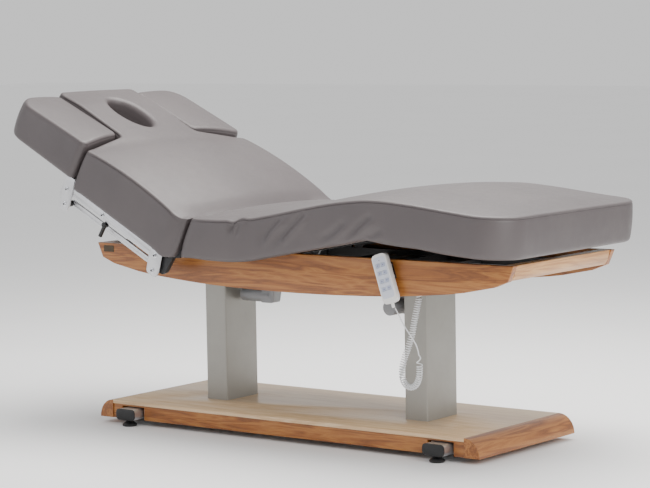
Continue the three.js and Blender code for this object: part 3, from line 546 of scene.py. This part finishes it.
class Loop:
    """One closed edge of a cushion's plan, with its outward normals and the points that carry the cover."""

    def __init__(self, points, skin, ease):
        self.points = np.asarray(points, float)
        self.skin = np.asarray(skin, bool)
        self.ease = np.asarray(ease, float)
        ahead = np.roll(self.points, -1, axis=0) - self.points
        behind = self.points - np.roll(self.points, 1, axis=0)
        starts = self.skin & ~np.roll(self.skin, 1)
        stops = self.skin & ~np.roll(self.skin, -1)
        ahead[stops], behind[starts] = behind[stops], ahead[starts]
        ahead /= np.linalg.norm(ahead, axis=1)[:, None]
        behind /= np.linalg.norm(behind, axis=1)[:, None]
        tangent = ahead + behind
        tangent /= np.linalg.norm(tangent, axis=1)[:, None]
        self.normals = np.stack((tangent[:, 1], -tangent[:, 0]), axis=1) * self.skin[:, None]

    def moved(self, offset):
        """The loop moved outwards; an inward move is smaller where the edge is tight."""
        share = np.where(offset < 0, self.ease, 1.0) * offset
        return self.points + self.normals * share[:, None]


def chain(corners, spacing, closed=False):
    """A line through corners (u, y, radius), rounded and cut into even steps."""
    out = []
    for i, (u, y, r) in enumerate(corners):
        here = np.array((u, y), float)
        if not r:
            out.append(here)
            continue
        before, after = (np.array(corners[j][:2], float) - here for j in (i - 1, (i + 1) % len(corners)))
        before /= np.linalg.norm(before)
        after /= np.linalg.norm(after)
        half = math.acos(float(np.clip(before @ after, -1, 1))) / 2
        start, stop = here + before * r / math.tan(half), here + after * r / math.tan(half)
        steps = max(5, int(r * (math.pi - 2 * half) / (0.6 * spacing)))
        centre = here + (before + after) / np.linalg.norm(before + after) * r / math.sin(half)
        a, b = start - centre, stop - centre
        sweep = math.atan2(a[0] * b[1] - a[1] * b[0], float(a @ b))
        for k in range(steps + 1):
            t = sweep * k / steps
            c, s = math.cos(t), math.sin(t)
            out.append(centre + np.array((a[0] * c - a[1] * s, a[0] * s + a[1] * c)))
    if closed:
        out.append(out[0])
    points = [out[0]]
    for a, b in zip(out, out[1:]):
        count = max(1, int(math.ceil(np.linalg.norm(b - a) / spacing)))
        points += [a + (b - a) * k / count for k in range(1, count + 1)]
    return np.array(points[:-1] if closed else points)


def inside(points, polygon):
    """Whether each point lies in the polygon."""
    x, y = points[:, 0][:, None], points[:, 1][:, None]
    x0, y0 = polygon[:, 0][None], polygon[:, 1][None]
    x1, y1 = np.roll(x0, -1, axis=1), np.roll(y0, -1, axis=1)
    crosses = ((y0 > y) != (y1 > y)) & (x < (x1 - x0) * (y - y0) / np.where(y1 == y0, 1e-9, y1 - y0) + x0)
    return crosses.sum(axis=1) % 2 == 1


def nearest(points, others):
    best = np.full(len(points), 1e9)
    for chunk in np.array_split(np.asarray(others, float), max(1, len(others) // 200)):
        gap = np.hypot(points[:, 0][:, None] - chunk[None, :, 0], points[:, 1][:, None] - chunk[None, :, 1])
        best = np.minimum(best, gap.min(axis=1))
    return best


def fill(loops, extra, clearance):
    """Triangles between the loops, with the extra points that lie inside. Returns points kept and faces."""
    edges, total = [], 0
    for loop in loops:
        edges += [(total + k, total + (k + 1) % len(loop)) for k in range(len(loop))]
        total += len(loop)
    border = np.vstack(loops)
    keep = inside(extra, loops[0]) & (nearest(extra, border) > clearance)
    for hole in loops[1:]:
        keep &= ~inside(extra, hole)
    extra = extra[keep]
    every = np.vstack((border, extra))
    found, _, faces, origin, _, _ = delaunay_2d_cdt([Vector(p) for p in every], edges, [], 1, 1e-4)
    back = [row[0] for row in origin]
    tris = np.array([[back[v] for v in face] for face in faces])
    centre = every[tris].mean(axis=1)
    good = np.ones(len(tris), bool)
    for hole in loops[1:]:
        good &= ~inside(centre, hole)
    tris = tris[good]
    a, b, c = every[tris[:, 0]], every[tris[:, 1]], every[tris[:, 2]]
    area = (b[:, 0] - a[:, 0]) * (c[:, 1] - a[:, 1]) - (b[:, 1] - a[:, 1]) * (c[:, 0] - a[:, 0])
    tris = np.where((area > 0)[:, None], tris, tris[:, ::-1])
    return extra, tris[np.abs(area) > 1e-4]


# Rings of a sewn edge from the top down: outward offset and depth. The dip near 8 mm is the seam.
SEAM_EDGE = ((-10, -0.6), (-6.5, 0.2), (-3.6, 1.6), (-1.5, 3.8),
             (-0.5, 6.2), (-2.0, 8.0), (-0.2, 9.8), (0.8, 13))
SOFT_EDGE = ((-24, -0.4), (-18, 0.3), (-12.5, 1.8), (-8, 4.2),
             (-4.6, 7.8), (-2.2, 12.5), (-0.8, 18), (0, 25))
LOW_EDGE = ((0.6, 14), (-0.2, 9), (-2.5, 3.5), (-7, 0.5), (-14, 0))


def rings_of(edge, depth, bulge, count):
    """(outward offset, depth) of each ring, for one depth of wall."""
    first, last = edge[-1][1], depth - LOW_EDGE[0][1]
    rows = list(edge)
    for k in range(1, count + 1):
        t = k / (count + 1)
        rows.append((0.8 + bulge * math.sin(math.pi * t), first + (last - first) * t))
    return rows + [(o, depth - up) for o, up in LOW_EDGE]


class Cushion:
    """A closed upholstered body over a plan, between a top line and a bottom line in the side plane."""

    def __init__(self, lines, height, under, bulge=2.4, rings=15):
        self.lines, self.height, self.under = lines, height, under
        self.bulge, self.rings = bulge, rings

    def at(self, plan, depth):
        rows = self.lines(plan[:, 0])
        top, down = rows[:, :2], rows[:, 2:] - rows[:, :2]
        down /= np.linalg.norm(down, axis=1)[:, None]
        spot = top + down * depth[:, None]
        return np.stack((spot[:, 0], plan[:, 1], spot[:, 1]), axis=1)

    def drop(self, plan):
        rows = self.lines(plan[:, 0])
        return np.linalg.norm(rows[:, 2:] - rows[:, :2], axis=1)

    def build(self, name, loops, top_points, low_points, folds=False, edges=None):
        edges = edges or [SEAM_EDGE] * len(loops)
        skin = np.vstack([loop.points[loop.skin] for loop in loops[:1]])
        points, faces, first_rings, last_rings = [], [], [], []
        start = 0
        for number, (loop, edge) in enumerate(zip(loops, edges)):
            full = self.drop(loop.points)
            low = self.under(loop.points, full, nearest(loop.points, skin))
            wall = np.where(loop.skin & (number == 0), full, low)
            bulge = self.bulge if number == 0 else 0.0
            table = np.array([rings_of(edge, w, bulge, self.rings) for w in wall])
            rise = self.height(loop.moved(table[:, 0, 0]))
            size = len(loop.points)
            for k in range(table.shape[1]):
                plan = loop.moved(table[:, k, 0])
                depth = table[:, k, 1] - rise * (1 - table[:, k, 1] / wall)
                if folds and number == 0:
                    flat = self.at(loop.points, depth)
                    side = loop.skin & (np.abs(loop.points[:, 1]) > 396)
                    fade = smoothstep((table[:, k, 1] - 5) / 12)
                    fade = fade * smoothstep((wall - table[:, k, 1] - 3) / 14)
                    push = np.where(side, fold_push(flat[:, 0], flat[:, 2]) * fade, 0)
                    plan = plan + loop.normals * push[:, None]
                points.append(self.at(plan, depth))
                if k == 0:
                    first_rings.append(plan)
            last_rings.append(plan)
            rows = table.shape[1]
            for k in range(rows - 1):
                for i in range(size):
                    j = (i + 1) % size
                    a, b = start + k * size + i, start + k * size + j
                    faces.append((a, a + size, b + size, b))
            loop.first, loop.last = start, start + (rows - 1) * size
            start += rows * size
        for rings, extra, low in ((first_rings, top_points, False), (last_rings, low_points, True)):
            kept, tris = fill(rings, extra, 3.5 if low else 4.0)
            numbers = [np.arange(len(r)) + (lp.last if low else lp.first) for r, lp in zip(rings, loops)]
            index = np.concatenate(numbers + [np.arange(len(kept)) + start])
            if low:
                full = self.drop(kept)
                points.append(self.at(kept, self.under(kept, full, nearest(kept, skin))))
                faces += [tuple(index[t[::-1]]) for t in tris]
            else:
                points.append(self.at(kept, -self.height(kept)))
                faces += [tuple(index[t]) for t in tris]
            start += len(kept)
        obj = mesh_piece(name, np.vstack(points), [tuple(int(v) for v in f) for f in faces])
        bm = bmesh.new()
        bm.from_mesh(obj.data)
        bmesh.ops.recalc_face_normals(bm, faces=bm.faces)
        sharpen(bm, 62)
        bm.to_mesh(obj.data)
        bm.free()
        return obj


def grid(u_values, y_values):
    u, y = np.meshgrid(u_values, y_values)
    return np.stack((u.ravel(), y.ravel()), axis=1)


def long_height(plan):
    """How far the long cushion's top stands above its seam line."""
    u, y = plan[:, 0], plan[:, 1]
    side = np.abs(y)
    crown = 19 * (1 - (y / HALF_WIDTH) ** 2)
    crown = crown * (0.45 + 0.55 * smoothstep((u + BACK_LENGTH) / 120))
    crown = crown * smoothstep((FOOT_END - u) / 150) ** 0.6
    reach = 1 - smoothstep((side - 262) / 105)
    crease = np.where(u < 5, hump(u, 5, 24), hump(u, 5, 7.5)) * reach
    seat = hump(u, 48, 34) * (0.35 + 0.65 * reach)
    pull = smoothstep((side - 330) / 60)
    top_fold = hump(u, 272, 55) * hump(side, 372, 7)
    return (crown - 22 * crease + 5.5 * seat + pull * (4.5 * hump(u, 243, 12) - 5.0 * hump(u, 204, 10))
            - 1.6 * top_fold)


def long_under(plan, full, gap):
    """Depth of the long cushion's underside: deep rims, a channel by each board, and the slab."""
    u, side = plan[:, 0], np.abs(plan[:, 1])
    slab = np.where((side > 294.5) & (u > -436), 63.5, 89.5)
    beside = side > 332.5
    foot_rim = np.where(u > FOOT_END - 60, (gap < 38) | beside, beside)
    rim = np.where(u < -436, gap < 18.5, foot_rim)
    return np.where(rim, full, slab)


LONG = Cushion(LONG_LINES, long_height, long_under)
NOTCH = ((60, 400, 0), (32, 400, 0), (22, 398.5, 0), (16.5, 393, 0), (14, 385, 0), (13, 352, 0), (1, 352, 0),
         (0, 385, 0), (-4, 391, 0), (-14, 392.5, 0), (-22, 396, 0), (-34, 400, 0), (-60, 400, 0))


def mirrored(corners):
    return tuple((u, -y, r) for u, y, r in reversed(corners))


def cut_line(u, toward):
    """Points across the cushion at a cut between two pieces."""
    rim = [293, 296, 312, 331, 334, 360, 382]
    y = np.array([-v for v in reversed(rim)] + list(range(-276, 277, 12)) + rim)
    return np.stack((np.full(len(y), float(u)), y[::toward].astype(float)), axis=1)


def long_loop(parts):
    """A closed loop from ("skin", points) and ("cut", points) parts."""
    points = np.vstack([p for _, p in parts])
    skin = np.concatenate([[kind == "skin"] * len(p) for kind, p in parts])
    tight = nearest(points, [(7, 372), (7, -372)])
    ease = 0.3 + 0.7 * smoothstep((tight - 32) / 30)
    shoulders = nearest(points, [(-SHOULDER, HALF_WIDTH), (-SHOULDER, -HALF_WIDTH)])
    return Loop(points, skin, np.minimum(ease, 0.55 + 0.45 * smoothstep((shoulders - 18) / 20)))


def top_grid(u0, u1):
    fine = np.arange(-48, 66, 5.0)
    u = np.concatenate((np.arange(u0, -48, 9.0), fine, np.arange(70, u1, 9.0)))
    u = u[(u > u0 + 1) & (u < u1 - 1)]
    y = np.concatenate((np.arange(-386, -330, 7.0), np.arange(-330, 331, 10.0), np.arange(337, 388, 7.0)))
    return grid(u, y)


def low_grid(u0, u1, loop=None, insets=()):
    u = np.concatenate((np.arange(u0 + 8, u1 - 4, 26.0), [u0 + 3, u1 - 3]))
    y = [-360, -334, -331, -312, -296, -293] + list(range(-270, 271, 30)) + [293, 296, 312, 331, 334, 360]
    rows = [grid(u, np.array(y, float))]
    for inset in insets:
        rows.append((loop.points - loop.normals * inset)[loop.skin])
    return np.vstack(rows)


def add_long_cushion():
    corner = ((-SHOULDER, HALF_WIDTH, 12), (-SHOULDER - SLANT, HEAD_HALF, 26), (-BACK_LENGTH, HEAD_HALF, 22))
    half = ((SEAT_CUT, HALF_WIDTH, 0),) + NOTCH + corner
    skin = chain(half + mirrored(half), 6.5)
    loop = long_loop((("skin", skin), ("cut", cut_line(SEAT_CUT, 1))))
    t = np.linspace(0, 2 * math.pi, 56, endpoint=False)
    rim = np.stack((-626 + 92 * np.cos(t), -57 * np.sin(t)), axis=1)
    hole = Loop(rim, np.ones(len(rim), bool), np.ones(len(rim)))
    low = low_grid(-BACK_LENGTH, SEAT_CUT, loop, (17, 20.5))
    side = np.abs(low[:, 1])
    beside_head = (low[:, 0] < -436) & (side > HEAD_HALF - 24) & (side < HEAD_HALF + 4)
    low = low[~(beside_head & (nearest(low, loop.points[loop.skin]) < 14))]
    back = LONG.build("back_upholstery", [loop, hole], top_grid(-BACK_LENGTH, SEAT_CUT), low, True,
                      [SEAM_EDGE, SOFT_EDGE])

    near = chain(((SEAT_CUT, -HALF_WIDTH, 0), (THIGH_CUT, -HALF_WIDTH, 0)), 6)
    loop = long_loop((("skin", near), ("cut", cut_line(THIGH_CUT, 1)), ("skin", near[::-1] * (1, -1)),
                      ("cut", cut_line(SEAT_CUT, -1))))
    seat = LONG.build("seat_upholstery", [loop], top_grid(SEAT_CUT, THIGH_CUT),
                      low_grid(SEAT_CUT, THIGH_CUT), True)

    foot = chain(((THIGH_CUT, -HALF_WIDTH, 0), (FOOT_END, -HALF_WIDTH, 115), (FOOT_END, HALF_WIDTH, 115),
                  (THIGH_CUT, HALF_WIDTH, 0)), 6.5)
    loop = long_loop((("skin", foot), ("cut", cut_line(THIGH_CUT, -1))))
    low = low_grid(THIGH_CUT, FOOT_END, loop, (36, 39.5))
    legs = LONG.build("leg_upholstery", [loop], top_grid(THIGH_CUT, FOOT_END), low, True)

    finish_piece(back, None, "leather", ["back_cushion"])
    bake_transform(back)
    finish_piece(seat, None, "leather", ["seat_cushion", "thigh_cushion"])
    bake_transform(seat)
    finish_piece(legs, None, "leather", ["calf_cushion"])
    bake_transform(legs)


ARM_START, ARM_END, ARM_INNER, ARM_THICK = 447, 785, 190, 117.4


def arm_station(s):
    lift = 16 - 16 * (s - 430) / 355
    return (-s, *on_back(s, -lift), *on_back(s, ARM_THICK))


def add_arm_cushions():
    lines = SmoothLine(*zip(*[(row[0], row[1:]) for row in map(arm_station, (800, 700, 600, 500, 430))]))
    middle, half = (ARM_INNER + HALF_WIDTH) / 2, (HALF_WIDTH - ARM_INNER) / 2

    def height(plan):
        across = 1 - np.clip(np.abs(np.abs(plan[:, 1]) - middle) / half, 0, 1) ** 2
        along = 1 - np.clip(np.abs(plan[:, 0] + (ARM_START + ARM_END) / 2) / 190, 0, 1) ** 4
        return 9 * across * along

    def under(plan, full, gap):
        return full

    for label, side in SIDES:
        corners = [(-ARM_START, HALF_WIDTH, 22), (-ARM_END, HALF_WIDTH, 75), (-ARM_END, ARM_INNER, 20),
                   (-ARM_START - SLANT, ARM_INNER, 26)]
        if side < 0:
            corners = [(u, -y, r) for u, y, r in reversed(corners)]
        points = chain(corners, 6, closed=True)
        loop = Loop(points, np.ones(len(points), bool), np.ones(len(points)))
        cells = grid(np.arange(-ARM_END, -ARM_START, 9.0), side * np.arange(ARM_INNER, HALF_WIDTH, 9.0))
        low = grid(np.arange(-ARM_END, -ARM_START, 30.0), side * np.arange(ARM_INNER + 4, HALF_WIDTH, 30.0))
        pad = Cushion(lines, height, under, bulge=2.8, rings=13).build(
            f"arm_pad_{label}", [loop], cells, low, edges=[ARM_EDGE])
        finish_piece(pad, f"armrest_{label}", "leather", [f"arm_cushion_{label}"])


ARM_EDGE = ((-14, -0.3), (-10, 0.4), (-6.4, 1.9), (-3.6, 4.2),
            (-1.6, 7.4), (-1.9, 9.2), (-0.2, 11.5), (0.8, 15))

add_long_cushion()
add_arm_cushions()


# ------------------------------------------------------------------ boards, metal and plastic
def finish_cad_nodes():
    for label, _ in SIDES:
        finished_copy(f"side_board_{label}", "wood", 2.6, 3)
        finished_copy(f"base_apron_{label}", "wood", 1.0)
        finished_copy(f"arm_bracket_{label}", "silver", 0.9)
        finished_copy(f"arm_link_upper_{label}", "silver", 0.9)
        finished_copy(f"arm_link_lower_{label}", "silver", 0.9)
        finished_copy(f"arm_plate_{label}", "silver", 0.8)
        finished_copy(f"arm_lock_lever_{label}", "black_plastic", 1.2)
        for end in ("head", "foot"):
            finished_copy(f"tube_cap_{end}_{label}", "black_plastic", 1.0)
            finished_copy(f"leveling_foot_{end}_{label}", "black_plastic", 0)
    for end in ("head", "foot"):
        finished_copy(f"base_end_{end}", "end_wood", 0)
        finished_copy(f"column_outer_{end}", "column_paint", 0)
        finished_copy(f"column_inner_{end}", "silver", 0)
    finished_copy("end_board_head", "end_wood", 1.6)
    finished_copy("end_board_foot", "foot_wood", 1.6)
    finished_copy("base_top_panel", "pale_wood", 1.2)
    finished_copy("base_chassis", "silver", 0)
    finished_copy("control_box", "black_plastic", 5, 3)
    for motor in ("back_motor", "leg_motor"):
        finished_copy(motor, "grey_plastic", 1.0)
        finished_copy(motor + "_rod", "chrome", 0.5)
    finished_copy("cord_gland", "black_plastic", 0.8)
    finished_copy("handset_hook", "black_steel", 0.5)
    for node in ("deck_frame", "back_frame", "thigh_frame", "calf_frame"):
        finished_copy(node, "black_steel", 0)


finish_cad_nodes()


# ------------------------------------------------------------------ fasteners and small parts
def screw(name, spot, axis, body, radius=5.6, height=4.2, look="chrome"):
    """A round screw head with a hexagon socket, standing on a washer; the shade inside the socket is painted
    as a black disc.
    """
    rim = radius * 1.45
    washer = lathe(name + "_washer", spot, axis, [(0, rim), (1.0, rim), (1.2, radius * 1.38), (1.2, 0)], 28)
    finish_piece(washer, body, look)
    out = Vector(axis).normalized()
    head = lathe(name, Vector(spot) + out * 1.2, axis, [
        (0, radius), (height - 1.0, radius), (height - 0.3, radius * 0.93), (height, radius * 0.8),
        (height, radius * 0.62), (height - 1.4, radius * 0.6), (height - 2.6, radius * 0.5),
        (height - 2.6, 0),
    ], 24)
    finish_piece(head, body, look)
    # Painted shade: a black hexagon disc at the bottom of the recess stands in for the shadow inside the
    # socket.
    socket = lathe(name + "_socket", Vector(spot) + out * (height - 1.3), axis,
                   [(0, radius * 0.58), (0.35, radius * 0.58), (0.35, 0)], 6)
    finish_piece(socket, body, "black_plastic")


LINK_S, LINK_D, LINK_LENGTH = 45, 162, 421
DROP_S, DROP_D = -12, 48
PLATE_Y = 382


def add_fasteners():
    for label, side in SIDES:
        out = (0, side, 0)
        face = side * (PLATE_Y + 0.1)
        for name, s, d, body in (
            ("bracket_bolt_upper", LINK_S, LINK_D, "back"),
            ("bracket_bolt_lower", LINK_S + DROP_S, LINK_D + DROP_D, "back"),
            ("plate_bolt_upper", LINK_S + LINK_LENGTH, LINK_D, f"armrest_{label}"),
            ("plate_bolt_lower", LINK_S + LINK_LENGTH + DROP_S, LINK_D + DROP_D, f"armrest_{label}"),
        ):
            x, z = on_back(s, d)
            screw(f"{name}_{label}", (x, face, z), out, body)
        x, z = on_back(LINK_S + 0.6 * LINK_LENGTH, LINK_D)
        screw(f"link_bolt_{label}", (x, side * (PLATE_Y - 4.3), z), out, f"arm_upper_{label}", 5.0)
        x, z = on_back(LINK_S + LINK_LENGTH + DROP_S, LINK_D + DROP_D)
        bush = lathe(f"link_bush_{label}", (x, side * 349, z), out,
                     [(0, 10), (1, 11), (24, 11), (25, 10)], 24)
        finish_piece(bush, f"armrest_{label}", "black_plastic")
        x, z = on_back(LINK_S + DROP_S, LINK_D + DROP_D)
        cap = lathe(f"link_cap_{label}", (x, side * 333.6, z), (0, -side, 0),
                    [(0, 7.5), (2, 7.5), (3, 6), (3, 0)], 20)
        finish_piece(cap, "back", "chrome")


def add_hook_screws():
    for k, drop in enumerate((2, 36)):
        screw(f"hook_screw_{k}", on_handset(-14, 24.6, drop), (0, -1, 0), "deck", 3.0, 2.4)
        screw(f"hook_screw_far_{k}", on_handset(14, 24.6, drop), (0, -1, 0), "deck", 3.0, 2.4)


def plate(name, outline, holes, spot, thickness, radius=0.4):
    """A thin plate from an outline, spot(a, b, c) being the place of a plan point at a height."""
    loops = [np.array(outline, float)] + [np.array(h, float) for h in holes]
    tris = plate_tris(loops)
    border = np.vstack(loops)
    points = [spot(a, b, 0) for a, b in border] + [spot(a, b, thickness) for a, b in border]
    n = len(border)
    faces = [tuple(int(v) for v in t[::-1]) for t in tris] + [tuple(int(v) + n for v in t) for t in tris]
    start = 0
    for loop in loops:
        for k in range(len(loop)):
            a, b = start + k, start + (k + 1) % len(loop)
            faces.append((a, b, b + n, a + n))
        start += len(loop)
    obj = mesh_piece(name, points, faces)
    bm = bmesh.new()
    bm.from_mesh(obj.data)
    bmesh.ops.recalc_face_normals(bm, faces=bm.faces)
    bm.to_mesh(obj.data)
    bm.free()
    return bevel(obj, radius, 2)


def plate_tris(loops):
    outside = np.vstack(loops).max(axis=0) + 1000
    _, tris = fill(loops, outside[None, :], 1.0)
    return tris


def round_rect(w, h, r, cx=0.0, cy=0.0, steps=6):
    out = []
    for sx, sy, t0 in ((1, -1, -90), (1, 1, 0), (-1, 1, 90), (-1, -1, 180)):
        for k in range(steps + 1):
            t = math.radians(t0 + 90 * k / steps)
            out.append((cx + sx * (w / 2 - r) + r * math.cos(t), cy + sy * (h / 2 - r) + r * math.sin(t)))
    return out


# ------------------------------------------------------------------ hand control
HANDSET = (453.5, -312, 542)
HANDSET_TILT = math.radians(-17.8)
CASE_D = 18
KEY_COLUMNS = (-9.5, 9.5)
KEY_ROWS = (("height", 42), ("back", 18), ("legs", -6), ("memory", -30))
KEY_W, KEY_H = 14, 11


def on_handset(x, y, z):
    """A point of the tilted hand control, from its middle."""
    c, s = math.cos(HANDSET_TILT), math.sin(HANDSET_TILT)
    return Vector((HANDSET[0] + x * c + z * s, HANDSET[1] + y, HANDSET[2] - x * s + z * c))


def add_handset():
    finished_copy("handset_case", "white_plastic", 2.2, 3)
    front = -CASE_D / 2

    def on_face(a, b, c):
        return on_handset(a, front - 0.05 - c, b)

    wells = [round_rect(KEY_W + 1.4, KEY_H + 1.4, 2.2, x, z)[::-1] for x in KEY_COLUMNS for _, z in KEY_ROWS]
    sheet = plate("keypad", round_rect(45, 126, 9, 0, 4), wells, on_face, 0.55, 0.2)
    finish_piece(sheet, "handset", "keypad")
    for x, way in zip(KEY_COLUMNS, ("up", "down")):
        turn = 1 if way == "up" else -1
        for row, z in KEY_ROWS:
            node = f"key_{row}_{way}"
            cap = plate(node + "_cap", round_rect(KEY_W, KEY_H, 2.0, x, z), (),
                        lambda a, b, c: on_handset(a, front + 1.7 - c, b), 2.7, 0.45)
            finish_piece(cap, node, "key_blue", [node])
            arrow = [(x - 3.2, z - 1.6 * turn), (x + 3.2, z - 1.6 * turn), (x, z + 2.4 * turn)]
            mark = plate(node + "_mark", arrow[::turn], (),
                         lambda a, b, c: on_handset(a, front - 0.98 - c, b), 0.25, 0.05)
            finish_piece(mark, node, "key_mark")
    lamp = lathe("handset_lamp", on_handset(0, front - 0.4, 56), (0, -1, 0),
                 [(0, 1.6), (0.5, 1.6), (0.9, 1.0), (1.0, 0)], 16)
    finish_piece(lamp, "handset", "key_mark")


def add_label():
    x0, x1, z0, z1 = -699, -656, 568, 589
    mark = plate("label_plate", round_rect(x1 - x0, z1 - z0, 1.5, (x0 + x1) / 2, (z0 + z1) / 2), (),
                 lambda a, b, c: Vector((a, -285.2 - c, b)), 0.8, 0.25)
    finish_piece(mark, "deck", "label")


add_fasteners()
add_handset()
add_hook_screws()
add_label()


# ------------------------------------------------------------------ floor and light
def add_floor():
    mesh = bpy.data.meshes.new("floor")
    bm = bmesh.new()
    bmesh.ops.create_grid(bm, x_segments=4, y_segments=4, size=30)
    bm.to_mesh(mesh)
    bm.free()
    floor = bpy.data.objects.new("floor", mesh)
    floor.location = (0, 0, -0.0006)
    bpy.context.scene.collection.objects.link(floor)
    s = Shader("floor")
    s.colour(s.ramp(s.noise(0.8, 2), (0.3, (0.93, 0.93, 0.93)), (0.7, (0.95, 0.95, 0.95))))
    s.roughness(s.noise(20), 0.7, 0.8)
    mesh.materials.append(s.material)


def add_light(name, spot, target, size, power, colour=(1, 1, 1)):
    data = bpy.data.lights.new(name, "AREA")
    data.shape = "RECTANGLE"
    data.size, data.size_y = size
    data.energy = power
    data.color = colour
    lamp = bpy.data.objects.new(name, data)
    ahead = Vector(target) - Vector(spot)
    lamp.matrix_world = Matrix.Translation(spot) @ ahead.to_track_quat("-Z", "Y").to_matrix().to_4x4()
    bpy.context.scene.collection.objects.link(lamp)


def add_lights():
    world = bpy.data.worlds.new("studio")
    world.use_nodes = True
    world.node_tree.nodes["Background"].inputs["Color"].default_value = (1, 1, 1, 1)
    world.node_tree.nodes["Background"].inputs["Strength"].default_value = 0.85
    bpy.context.scene.world = world
    middle = (0, 0, 0.6)
    add_light("top", (0.2, 0.6, 3.4), middle, (3.2, 2.4), 230, (1, 0.98, 0.95))
    add_light("left", (-3.0, -3.2, 1.6), middle, (1.6, 2.0), 16, (0.93, 0.94, 1))
    add_light("right", (3.6, -1.2, 1.8), middle, (1.6, 2.0), 60, (1, 0.99, 0.97))


add_floor()
add_lights()
